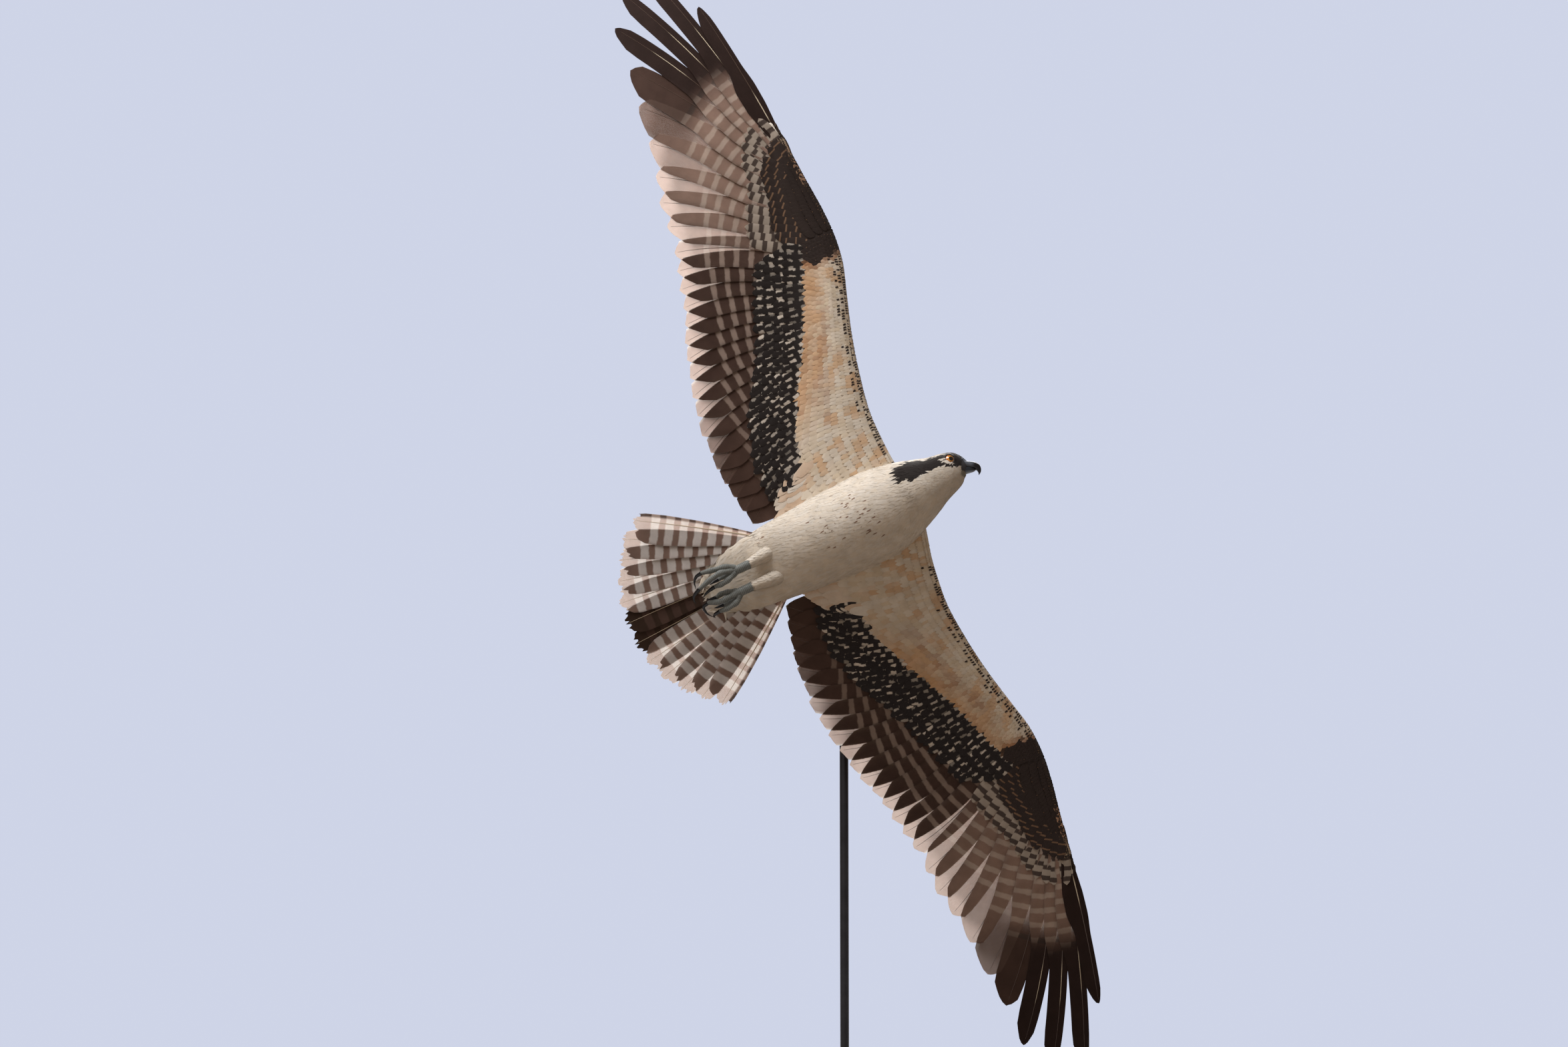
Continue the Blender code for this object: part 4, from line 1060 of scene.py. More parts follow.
@dataclass(frozen=True)
class Trunk:
    """Rump, body, neck and head as one sleeve of rings.

    A station of the body holds its place along the body, shift to the left, height, half
    width, rise of the back and drop of the belly. A section of neck and head holds the side
    view's top point and bottom point, the depth and the half width.
    """

    stations: tuple = (
        (-186, -8, -5, 36, 3.2, 3.2), (-172, -8, -5, 43, 5.2, 5), (-155, -8, -3.5, 49, 9, 8.5),
        (-134, -8, -1.5, 52, 13, 15), (-119, -8, 0, 52, 15, 20), (-98, -8, 0, 54, 21, 32),
        (-65, -7, 0, 57, 28, 46), (-25, -7, 0, 60, 34, 58), (15, -6, 0, 62, 38, 65),
        (50, -7, 0, 62, 40, 66), (78, -8, 0, 57, 39, 58), (100, -10, 0, 50, 36, 49),
    )
    sections: tuple = (
        (88, 101.5, 130, 36.5, -8, 38), (104.5, 102.5, 142, 51, -6, 31),
        (120, 107, 154, 64, -5, 25.5), (131, 109.8, 158.5, 70.5, -4, 21),
        (142, 110.7, 160, 75.5, -4, 18.5), (153, 107, 162, 78.8, -4, 14.3),
        (160, 102.3, 163, 81.0, -4, 10.6), (165, 99, 163.8, 84, -4, 8.1),
    )
    rolls: tuple = (68, 45, 30, 25, 25, 25, 25, 25)
    neck_blend: float = 2.0
    twist: float = 72.0
    columns: int = 84
    pitch: float = 2.0

    def body_ring(self, station: Sequence[float], angle: Array) -> Array:
        """One ring of the body in the side frame; angle 0 is the left and a quarter the back."""
        x, shift, middle, half_width, rise, drop = np.asarray(station) * MM
        height = np.where(np.sin(angle) > 0, rise, drop) * np.sin(angle)
        ring = axes(x, shift + half_width * np.cos(angle), middle + height)
        return carry(ring, POSE.bird_to_side())

    def head_ring(self, sample: float, angle: Array) -> Array:
        """One ring of neck or head in the side frame.

        The ring is an ellipse whose side view spans the section's top and bottom points. Its
        up and left axes turn from the neck's roll to the skull's own axes.

        Args:
            sample: Number of the section, or a place between two.
            angle: Places round the ring.

        Returns:
            Points of the ring.
        """
        at = np.arange(len(self.sections))
        row = smooth_curve(np.array(self.sections) * MM, at, [sample])[0]
        roll = math.radians(smooth_curve(np.array(self.rolls, float), at, [sample])[0])
        skull = POSE.skull_to_side()
        ahead, skull_left, skull_up = skull[:3, 0], skull[:3, 1], skull[:3, 2]
        top_x, top_z, low_x, low_z, depth, half_width = row
        centre = np.array([(top_x + low_x) / 2, depth, (top_z + low_z) / 2])
        across = np.array([top_x - low_x, 0, top_z - low_z])
        half = np.linalg.norm(across) / 2
        across /= 2 * half
        share = min(sample / self.neck_blend, 1.0)
        middle = centre[1] - (centre - skull[:3, 3]) @ skull_left / skull_left[1]
        centre[1] += (middle - centre[1]) * share
        neck_up = across * math.cos(roll) + np.array([0, 1, 0]) * math.sin(roll)
        neck_left = np.cross(neck_up, [across[2], 0, -across[0]])
        run, rise = np.linalg.solve(axes(ahead, skull_up)[[0, 2]], across[[0, 2]])
        up = unit(neck_up + (unit(ahead * run + skull_up * rise) - neck_up) * share)
        left = unit(neck_left + (skull_left - neck_left) * share)
        height = math.sqrt(half**2 - (half_width * (left @ across))**2) / (up @ across)
        shift = math.radians(self.twist) * (roll - math.pi / 2) / math.radians(90 - POSE.skull_roll)
        angle = angle[:, None] + shift
        return centre + half_width * np.cos(angle) * left + height * np.sin(angle) * up

    def sleeve(self) -> tuple[GridSurface, float, float]:
        """The whole sleeve in the world, and the rows where neck and head begin."""
        angle = full_turn(self.columns)
        samples = np.linspace(0, len(self.sections) - 1, 15)
        rings = [self.body_ring(station, angle) for station in self.stations]
        rings = np.array(rings + [self.head_ring(sample, angle) for sample in samples])
        apart = np.linalg.norm(np.diff(rings, axis=0), axis=-1).mean(1)
        at = np.concatenate([[0], np.cumsum(apart)])
        count = int(at[-1] / (self.pitch * MM))
        points = smooth_curve(rings, at, np.linspace(0, at[-1], count))
        surface = GridSurface(carry(points, POSE.side_to_world()))
        starts = at[[len(self.stations) - 1, len(self.stations) + 3]] / at[-1] * (count - 1)
        return surface, starts[0], starts[1]


@dataclass(frozen=True)
class FaceMap:
    """Where the face's markings lie, as outlines in the side frame.

    A point of the far side is first mirrored over the skull's middle.
    """

    mask: tuple = (
        (62.2, 86.0), (64.9, 72.2), (80.5, 72.2), (91.5, 74.1), (100.6, 79.6), (109.8, 86.0),
        (118.9, 90.5), (125.3, 92.4), (137.2, 92.4), (148.2, 91.5), (158.3, 93.3), (164.9, 97.0),
        (161.2, 104.1), (152.4, 108.7), (140.8, 109.7), (130.8, 109.7), (123.5, 107.0),
        (114.4, 104.3), (105.2, 100.6), (84.2, 98.8), (78.7, 99.7), (73.2, 94.2), (62.2, 91.5),
    )
    crescent: tuple = (
        (123.9, 103.0), (125.5, 99.9), (132.7, 96.2), (144.4, 94.6), (145.2, 97.1),
        (135.4, 98.0), (127.4, 102.6),
    )
    chin: tuple = ((153.7, 89.6), (168, 88.7), (168, 78.6), (161.0, 76.8), (153.7, 80.5))
    forehead: tuple = ((128, 130), (133, 108), (146, 106), (162, 106), (172, 104), (172, 130))

    def lay_flat(self, points: Array) -> Array:
        """World points in the side view's plane, those of the far side mirrored first."""
        skull = carry(points, np.linalg.inv(POSE.skull()))
        skull[..., 1] = -np.abs(skull[..., 1])
        return carry(skull, POSE.skull_to_side())[..., [0, 2]]

    def tone(self, points: Array, seed: int) -> dict[str, Array]:
        """Values of the face's feathers.

        Args:
            points: Places of the feathers in the world.
            seed: Number of the random series.

        Returns:
            Ground, mark and edge.
        """
        random = draws(seed)
        flat = self.lay_flat(points)
        skull = POSE.in_skull(points)
        grain = random.uniform(-1, 1, len(points))
        ground = blend(Tones.WHITE, Tones.CREAM, np.clip(0.15 + 0.2 * grain, 0, 1))
        edge = np.zeros_like(ground)
        nape = smooth_step(-10, -35, skull[:, 0]) * smooth_step(2, 14, skull[:, 2])
        crown = smooth_step(12, 17, skull[:, 2]) * (random.uniform(0, 1, len(points)) < 0.55)
        ground = blend(ground, Tones.BROWN, nape * (random.uniform(0, 1, len(points)) < 0.8))
        edge[:, 1] = 0.45 * crown * (1 - nape)
        edge[:, 2] = 6 * MM
        streaks = np.sin(flat[:, 1] / MM * 1.2) * smooth_step(88, 66, flat[:, 0] / MM)
        dark = inside_by(flat, self.mask) + (1.3 * grain + 2.4 * streaks) * MM
        ground = blend(ground, Tones.BLACK, smooth_step(-0.3 * MM, 0.3 * MM, dark))
        front = inside_by(flat, self.forehead) + 0.6 * MM * grain
        ground = blend(ground, Tones.BLACK, smooth_step(-0.3 * MM, 0.3 * MM, front))
        chin = inside_by(flat, self.chin) + 0.8 * MM * grain
        ground = blend(ground, colour(104, 104, 92), 0.7 * smooth_step(-1 * MM, 1 * MM, chin))
        light = inside_by(flat, self.crescent)
        ground = blend(ground, Tones.WHITE, smooth_step(-0.2 * MM, 0.3 * MM, light))
        return {"ground": ground, "mark": Tones.DARK, "edge": edge}


@dataclass(frozen=True)
class Eyes:
    """Eyeballs with their lids, in the skull's frame."""

    centre: tuple = (4.7, 15.2, -1.6)
    radius: float = 8.6
    opening: float = 7.0
    lid: float = 1.5
    brow: float = 2.1
    axis: tuple = (0.30, 0.94, 0.06)
    steps: int = 48
    lid_grid: tuple = (72, 14)

    def middle(self, side: Side) -> Array:
        """The eyeball's centre in the world."""
        return carry(np.array(self.centre) * (1, side.value, 1) * MM, POSE.skull())

    def ball(self, side: Side, finish: Finishes) -> Piece:
        """One eyeball.

        A ball of rings about its optical axis: a point at angle t from the axis and turn w
        round it stands at cos t along the axis and sin t across it. Towards the axis the
        surface bulges by 3 hundredths, as the cornea does.

        Args:
            side: The eye's side.
            finish: The materials.

        Returns:
            The piece.
        """
        axis = unit(np.array(self.axis) * (1, side.value, 1))
        one = unit(np.cross(axis, [0, 0, 1.0]))
        two = np.cross(axis, one)
        tilt = np.linspace(0, math.pi, self.steps + 2)[1:-1]
        t, w = np.meshgrid(tilt, full_turn(self.steps), indexing="ij")
        reach = self.radius * MM * (1 + 0.03 * np.clip(np.cos(t), 0, 1) ** 6)
        away = np.cos(t)[..., None] * axis
        away = away + np.sin(t)[..., None] * (np.cos(w)[..., None] * one + np.sin(w)[..., None] * two)
        points = np.array(self.centre) * (1, side.value, 1) * MM + away * reach[..., None]
        faces = tube_faces(self.steps, self.steps)
        obj = Meshwork(f"eyeball_{side.label}", carry(points, POSE.skull()), faces).build(finish.eye)
        set_values(obj, "angle", np.degrees(t))
        return placed(obj, "eye", f"eye_{side.label}")

    def lids(self, side: Side, finish: Finishes) -> Piece:
        """The bare ring of skin round one eye, thicker above as a brow.

        A ring of radius r is carried round the opening at turn w; its own radius is the
        lid's, more by the brow where sin w is above zero.

        Args:
            side: The eye's side.
            finish: The materials.

        Returns:
            The piece.
        """
        rings, around = self.lid_grid
        w, a = np.meshgrid(full_turn(rings), full_turn(around), indexing="ij")
        half = self.lid + (self.brow - self.lid) * np.clip(np.sin(w + 0.25), 0, 1) ** 1.5
        half = half * (1 + 0.08 * np.sin(9 * w))
        out = self.centre[1] + math.sqrt(self.radius**2 - self.opening**2)
        reach = self.opening + half * np.cos(a)
        points = axes(reach * np.cos(w), half * np.sin(a), reach * np.sin(w))
        points = (points + [self.centre[0], out, self.centre[2]]) * (1, side.value, 1) * MM
        i, j = np.meshgrid(np.arange(rings), np.arange(around), indexing="ij")
        after, beside = (i + 1) % rings * around, (j + 1) % around
        quads = axes(i * around + j, i * around + beside, after + beside, after + j).reshape(-1, 4)
        obj = Meshwork(f"eyelids_{side.label}", carry(points, POSE.skull()), [quads]).build(finish.lid)
        set_values(obj, "ground", colour(40, 36, 36))
        return placed(obj, "head_plumage", "head")

    def near(self, points: Array) -> Array:
        """How far world points stand from the nearest eye's middle."""
        return np.minimum(*(np.linalg.norm(points - self.middle(side), axis=-1) for side in Side))


@dataclass(frozen=True)
class Bill:
    """Both halves of the bill in the skull's frame: place along, height, dip, half sizes."""

    upper: tuple = (
        (22.0, 0.6, 0, 5.4, 10.6), (26.0, 1.2, 0, 5.4, 9.6), (29.0, 1.6, 0, 5.2, 8.6),
        (32.2, 1.8, 0, 5.0, 7.6), (37.0, 1.9, 2, 5.0, 6.4), (41.5, 1.6, 10, 4.8, 5.3),
        (45.4, -0.1, 32, 4.2, 4.2), (47.6, -3.6, 60, 3.0, 3.0), (48.3, -7.0, 80, 1.8, 1.9),
        (48.0, -9.6, 95, 0.9, 1.0), (47.6, -11.4, 103, 0.3, 0.3),
    )
    lower: tuple = (
        (21.0, -8.0, 0, 4.0, 9.8), (27.0, -7.6, 0, 3.8, 8.4), (32.2, -6.4, 0, 3.2, 7.2),
        (36.0, -5.7, -2, 2.5, 5.9), (39.4, -5.1, -6, 1.9, 4.4), (41.8, -4.5, -10, 1.1, 2.8),
        (42.8, -4.2, -10, 0.5, 1.4),
    )
    nostril: tuple = (36.5, 6.3, 3.4)
    rings: int = 44
    around: int = 36

    def half(self, name: str, rows: tuple, flat_sign: int, finish: Finishes) -> Piece:
        """One half as a loft of rings that are squarer along the mouth.

        A ring's height goes as the sine of the angle and its width as the cosine, each
        raised to a power below one; the ring then leans by the dip.

        Args:
            name: Name of the piece.
            rows: The half's rings.
            flat_sign: Side of the mouth, -1 where it is below.
            finish: The materials.

        Returns:
            The piece.
        """
        fine = evenly(np.array(rows, float), self.rings)
        x, z, dip, high, wide = (fine[:, k, None] for k in range(5))
        angle = full_turn(self.around)[None]
        up = np.sin(angle)
        up = np.where(up * flat_sign > 0, np.sign(up) * np.abs(up) ** 0.5, up)
        aside = np.sign(np.cos(angle)) * np.abs(np.cos(angle)) ** 0.85
        lean = np.radians(dip)
        points = axes(x + high * up * np.sin(lean), wide * aside, z + high * up * np.cos(lean))
        if flat_sign < 0:
            for turn in (1, -1):
                away = (points - np.array(self.nostril) * (1, turn, 1)) / (2.0, 1.4, 0.8)
                points[..., 1] -= turn * 1.1 * np.exp(-(away**2).sum(-1))
        tip = smooth_step(*((33, 42) if flat_sign < 0 else (34, 40)), points[..., 0])
        pale = colour(112, 120, 132) if flat_sign < 0 else colour(50, 56, 64)
        faces = tube_faces(self.rings, self.around)
        obj = Meshwork(name, carry(points * MM, POSE.skull()), faces).build(finish.horn)
        set_values(obj, "ground", blend(pale, colour(34, 34, 38), tip))
        return obj

    def build(self, finish: Finishes) -> None:
        """Makes both halves."""
        placed(self.half("bill_maxilla", self.upper, -1, finish), "bill", "bill_upper")
        placed(self.half("bill_mandible", self.lower, 1, finish), "bill", "bill_lower")


@dataclass(frozen=True)
class Coat:
    """Contour feathers of rump, body, neck and head.

    A group of flecks holds its place across and up in the side frame, its reach and its share.
    """

    trunk: Trunk
    face: FaceMap
    eyes: Eyes
    row_gap: float = 4.3 * MM
    cross_gap: float = 3.7 * MM
    fleck_groups: tuple = (
        (40, 32, 18, 0.30), (-6, 12, 17, 0.26), (-110, 9, 13, 0.12), (8, 36, 26, 0.05),
    )

    def body_tone(self, points: Array, seed: int) -> dict[str, Array]:
        """Values of body feathers.

        Args:
            points: Places of the feathers in the world.
            seed: Number of the random series.

        Returns:
            Ground, mark, tip and edge.
        """
        random = draws(seed)
        bird = POSE.in_bird(points)
        side = POSE.in_side(points)
        grain = random.uniform(-1, 1, len(points))
        upper = smooth_step(6, 12, bird[:, 2] + 2.5 * grain)
        # Painted shade: towards the bottom of the hanging body the ground turns creamier and darker,
        # standing in for the shade on its lower side.
        low = smooth_step(60, -60, side[:, 2]) * 0.10
        ground = blend(Tones.WHITE, Tones.CREAM, np.clip(0.12 + 0.22 * grain + low, 0, 1))
        ground = blend(ground, Tones.BROWN * (1 + 0.15 * grain[:, None]), upper)
        edge = np.zeros_like(ground)
        edge[:, 0] = 1.1 * MM * upper
        chance = sum(
            share * np.exp(-((side[:, 0] - x) ** 2 + (side[:, 2] - z) ** 2) / reach**2)
            for x, z, reach, share in self.fleck_groups)
        fleck = (random.uniform(0, 1, len(points)) < chance) & (bird[:, 2] < 0)
        edge[:, 1] = 0.4 * fleck
        edge[:, 2] = 7 * MM
        mark = np.where(fleck[:, None], colour(140, 112, 94), Tones.DARK)
        return {"ground": ground, "mark": mark, "tip": Tones.FRINGE, "edge": edge}

    def clear_of_wings(self, points: Array, wings: Sequence["Wing"]) -> Array:
        """Whether points lie outside the flesh of the wings.

        Args:
            points: Points of the world.
            wings: Both wings.

        Returns:
            True for each point that is clear.
        """
        free = np.ones(len(points), bool)
        for wing in wings:
            flat = wing.from_world(points)
            half = wing.half_depth(flat[:, 0], flat[:, 1]) - 2.5 * MM
            deep = np.abs(flat[:, 2] - wing.middle(flat[:, 0], flat[:, 1])) < half
            behind = wing.behind(flat[:, 0], flat[:, 1])
            rear = along(wing.leading_edge, flat[:, 0]) - along(wing.flesh_rear, flat[:, 0])
            free &= ~(deep & (flat[:, 0] > 32 * MM) & (behind > 6 * MM) & (behind < rear - 20 * MM))
        return free

    def build(self, wings: Sequence["Wing"], finish: Finishes) -> None:
        """Makes the coats of belly, back, and neck with head.

        Args:
            wings: Both wings, whose flesh stays free of feathers of the body.
            finish: The materials.
        """
        surface, neck_row, head_row = self.trunk.sleeve()
        u, v = surface.scatter(lambda row: self.row_gap, lambda row: self.cross_gap,
                               (2, neck_row), 21)
        roots = surface.at(u, v)
        bird = POSE.in_bird(roots)
        random = draws(23)
        rear = smooth_step(-85, -150, bird[:, 0])
        fan = np.arctan2(bird[:, 1] + 8, 150.0) * rear * 1.4
        plumes = Plumes.make(
            u, v, length=(24 + 15 * rear) * MM * random.uniform(0.8, 1.15, len(u)),
            width=(6.4 + 3.4 * rear) * MM, turn=random.normal(0, 0.10, len(u)) - fan,
            low=-0.7 * MM, high=0.12 * MM, **self.body_tone(roots, 22))
        free = self.clear_of_wings(roots, wings)
        belly = bird[:, 2] < 0
        vane = Vane(stations=7, across=3, ragged=0.30, recess=0.34, crown=0.0, droop=0.04,
                    thickness=0.18 * MM)
        for name, choice in (("coat_belly", belly), ("coat_back", ~belly)):
            piece = lay_feathers(name, surface, plumes.kept(free & choice), vane, finish.contour, 24)
            placed(piece, "white_plumage", "torso")
        self.dress_neck(surface, neck_row, head_row, finish)

    def dress_neck(self, surface: GridSurface, neck_row: float, head_row: float,
                   finish: Finishes) -> None:
        """Makes the coat of neck and head, finest on the face.

        Args:
            surface: The whole sleeve.
            neck_row: Row at which the neck begins.
            head_row: Row at which the head begins.
            finish: The materials.
        """
        def finer(full: float, loss: float) -> Callable[[float], float]:
            """A distance that loses this share of itself between the neck's root and the head."""
            return lambda row: full * (1 - loss * float(smooth_step(neck_row, head_row + 6, row)))

        u, v = surface.scatter(finer(self.row_gap, 0.56), finer(self.cross_gap, 0.50),
                               (neck_row, surface.rows - 1), 31)
        roots = surface.at(u, v)
        side = POSE.in_side(roots)
        fine = smooth_step(neck_row, head_row, u)
        front = smooth_step(118, 160, side[:, 0])
        random = draws(34)
        length = (22 - 12.5 * fine - 5 * front) * MM * random.uniform(0.85, 1.15, len(u))
        turn = random.normal(0, 0.10, len(u))
        seen, _ = surface.lay(u, v, turn, 0.6 * length[:, None, None], np.zeros((len(u), 1, 1)))
        seen = seen[:, 0, 0]
        values, share = self.body_tone(roots, 32), smooth_step(58, 70, side[:, 0])
        for kind, value in self.face.tone(seen, 33).items():
            values[kind] = blend(values[kind], value, share)
        plumes = Plumes.make(
            u, v, length=length, width=(6.4 - 3.2 * fine - 1.1 * front) * MM, turn=turn,
            low=-(0.7 - 0.3 * fine) * MM, high=(0.22 - 0.04 * fine) * MM, **values)
        skull = POSE.in_skull(roots)
        at_bill = (skull[:, 0] > 22.5) & (skull[:, 2] > -12.5) & (skull[:, 2] < 5.5)
        clear = (self.eyes.near(roots) > (self.eyes.radius + 0.7) * MM) & ~at_bill
        vane = Vane(stations=5, across=3, ragged=0.30, recess=0.36, crown=0.0, droop=0.04,
                    thickness=0.15 * MM)
        coarse = u < head_row - 4
        for name, choice in (("coat_neck", coarse), ("coat_head", ~coarse)):
            piece = lay_feathers(name, surface, plumes.kept(clear & choice), vane, finish.facial, 35)
            placed(piece, "head_plumage", "neck", "head")


def vane_shares() -> Array:
    """Stations of a long feather as shares of its length, closer together at the tip."""
    return 1 - (1 - np.linspace(0, 1, BLADE_STATIONS)) ** 1.25


def both_faces(grid: dict[str, Array], fringe: tuple[float, float],
               **below: Array) -> dict[str, Array]:
    """Colours of long feathers that are dark brown with a pale tip above.

    Args:
        grid: Where each point lies on its feather.
        fringe: Distances to the tip at which the pale tip starts and is full.
        below: Colours of the lower face by kind.

    Returns:
        Colours of every point by kind.
    """
    above = blend(Tones.BROWN, Tones.FRINGE, smooth_step(*fringe, grid["to_tip"]))
    upper = (grid["face"] > 0).astype(float)
    return {kind: blend(tone, above, upper) for kind, tone in below.items()}


@dataclass(frozen=True)
class Blades:
    """A row of long feathers in a plane, from the outermost one inwards.

    Roots and tips are points of the plane, aside and ahead. Outer and inner hold the vanes'
    widths at the stations, and the recesses how far their edges end before the tip. A recess
    grows from the shaft to the edge with the power that its point holds.
    """

    roots: Array
    tips: Array
    bend: Array
    outer: Array
    inner: Array
    outer_recess: Array
    inner_recess: Array
    outer_point: Array
    inner_point: Array
    level: Array
    height: Callable
    to_world: Callable
    ragged: float = 1.0 * MM
    across: int = 9
    rise: float = 1.25 * MM
    thickness: float = 0.55 * MM

    def shaft(self, s: Array, choice: slice = slice(None)) -> tuple[Array, Array]:
        """Points of the shafts and their outward sides at shares s, feather by feather.

        The shaft is the straight line plus a bow aside of 4 times the bend times s (1 - s).

        Args:
            s: Shares of the length, with one row for each feather.
            choice: Which feathers.

        Returns:
            Points and directions in the plane.
        """
        shape = (-1,) + (1,) * (s.ndim - 1) + (2,)
        roots = self.roots[choice].reshape(shape)
        run = (self.tips - self.roots)[choice].reshape(shape)
        aside = axes(-run[..., 1], run[..., 0])
        bend = self.bend[choice].reshape(shape[:-1] + (1,))
        s = s[..., None]
        points = roots + run * s + aside * bend * 4 * s * (1 - s)
        slope = run + aside * bend * 4 * (1 - 2 * s)
        return points, unit(axes(-slope[..., 1], slope[..., 0]))

    def spacing(self) -> Array:
        """Distance between neighbouring shafts at the stations."""
        s = np.broadcast_to(vane_shares(), self.outer.shape)
        points, aside = self.shaft(s)
        apart = np.abs(((points[:-1] - points[1:]) * aside[1:]).sum(-1))
        return (np.concatenate([apart[:1], apart]) + np.concatenate([apart, apart[-1:]])) / 2

    def grid(self) -> dict[str, Array]:
        """Points of every feather, with where each lies on it.

        Across, a goes from -1 at the inner edge to 1 at the outer one, over the upper face
        and back under the lower one. A point's share of the length is s less the edge's
        recess and a ragged share that differs from line to line.
        """
        top = np.linspace(-1, 1, self.across)
        a = np.concatenate([top, top[::-1][1:-1]])
        random = draws(len(self.roots))
        fray = self.ragged * random.uniform(0, 1, (len(self.roots), 1, self.across)) ** 2
        fray = np.concatenate([fray, fray[..., ::-1][..., 1:-1]], axis=-1)
        face = np.concatenate([np.where(np.abs(top) < 1, 1, 0), np.full(self.across - 2, -1)])
        length = np.linalg.norm(self.tips - self.roots, axis=1)[:, None, None]
        s = vane_shares()[None, :, None]
        recess = np.where(a > 0, self.outer_recess[:, None, None], self.inner_recess[:, None, None])
        point = np.where(a > 0, self.outer_point[:, None, None], self.inner_point[:, None, None])
        share = s * (1 - (recess * np.abs(a) ** point + fray) / length)
        points, aside = self.shaft(share)
        offset = np.where(a > 0, self.outer[..., None], self.inner[..., None]) * a
        flat = points + aside * offset[..., None]
        spacing = np.maximum(self.spacing(), 4 * MM)[..., None]
        height = self.height(flat[..., 0], flat[..., 1]) + self.level[:, None, None]
        height = height + self.rise * np.clip(offset / spacing, -1.6, 1.6)
        height = height + self.thickness / 2 * face * (1 - 0.55 * share)
        height = height + 0.6 * MM * (1 - a**2) * np.sin(math.pi * np.clip(share, 0, 1)) ** 0.5
        return {
            "points": np.concatenate([flat, height[..., None]], axis=-1),
            "across": np.broadcast_to(a, share.shape), "face": np.broadcast_to(face, share.shape),
            "to_tip": length * (1 - share), "from_root": length * share, "share": share,
        }

    def cover(self, flat: Array) -> Array:
        """How far points of each feather lie inside the next inner feather.

        A point's share of the next feather's length is its run along that feather's line.
        The distance is that feather's outer width less the point's offset from its shaft,
        or the distance to its tip where that is less.

        Args:
            flat: Points of the plane, feathers by rings by points.

        Returns:
            One distance for each point.
        """
        result = np.full(flat.shape[:-1], 5 * MM)
        run = (self.tips - self.roots)[1:, None, None]
        root = self.roots[1:, None, None]
        share = ((flat[:-1] - root) * run).sum(-1) / (run**2).sum(-1)
        inner = np.clip(share, 0, 1)
        points, aside = self.shaft(inner, slice(1, None))
        offset = ((flat[:-1] - points) * aside).sum(-1)
        stations = vane_shares()
        place = np.clip(np.searchsorted(stations, inner) - 1, 0, len(stations) - 2)
        width = np.take_along_axis(self.outer[1:], place.reshape(len(place), -1), 1).reshape(place.shape)
        length = np.linalg.norm(run, axis=-1)
        out = np.clip(offset / np.maximum(width, MM), 0, 1)
        recess = self.outer_recess[1:, None, None] * out ** self.outer_point[1:, None, None]
        result[:-1] = np.minimum(width - offset, (1 - share) * length - recess)
        return result

    def build(self, name: str, tones: Callable, bars: Array, finish: Finishes) -> Piece:
        """The vanes as one piece.

        Args:
            name: Name of the piece.
            tones: Gives the four colours from the grid.
            bars: First bar, spacing and share, a row for each feather.
            finish: The materials.

        Returns:
            The piece.
        """
        grid = self.grid()
        count, rings, around = grid["share"].shape
        faces = many_tubes(count, rings, around, self.across)
        obj = Meshwork(name, self.to_world(grid["points"]), faces).build(finish.flight)
        place = axes(grid["across"], grid["to_tip"], grid["from_root"])
        set_values(obj, "place", place)
        set_values(obj, "cover", self.cover(grid["points"][..., :2]))
        for kind, values in ({"bars": bars[:, None, None]} | tones(grid)).items():
            set_values(obj, kind, np.broadcast_to(values, place.shape))
        corner = axes(np.arange(count) / count, 0.0)
        bake_patches(obj, corner * 0.996 + 0.002, (0.97 / count, 0.996), rings, around)
        return obj

    def quills(self, name: str, tone: Callable, finish: Finishes,
               thick: float = 0.95 * MM) -> Piece:
        """The shafts as tapering tubes that stand a little proud of both faces.

        Args:
            name: Name of the piece.
            tone: Gives the colour from the shares of the length.
            finish: The materials.
            thick: Greatest radius.

        Returns:
            The piece.
        """
        s = np.linspace(0, 0.97, 30)[None, :].repeat(len(self.roots), 0)
        points, aside = self.shaft(s)
        angle = full_turn(6)
        radius = thick * (1 - s) ** 0.8 * 0.8 + 0.16 * MM
        flat = points[:, :, None] + aside[:, :, None] * (radius[..., None] * np.cos(angle))[..., None]
        height = self.height(points[..., 0], points[..., 1]) + self.level[:, None]
        height = (height + 0.5 * MM * np.sin(math.pi * s) ** 0.5)[..., None]
        height = height + radius[..., None] * np.sin(angle)
        points = self.to_world(np.concatenate([flat, height[..., None]], axis=-1))
        obj = Meshwork(name, points, many_tubes(len(s), 30, 6)).build(finish.shaft)
        set_values(obj, "ground", np.broadcast_to(tone(s)[:, :, None], (*s.shape, 6, 3)))
        return obj


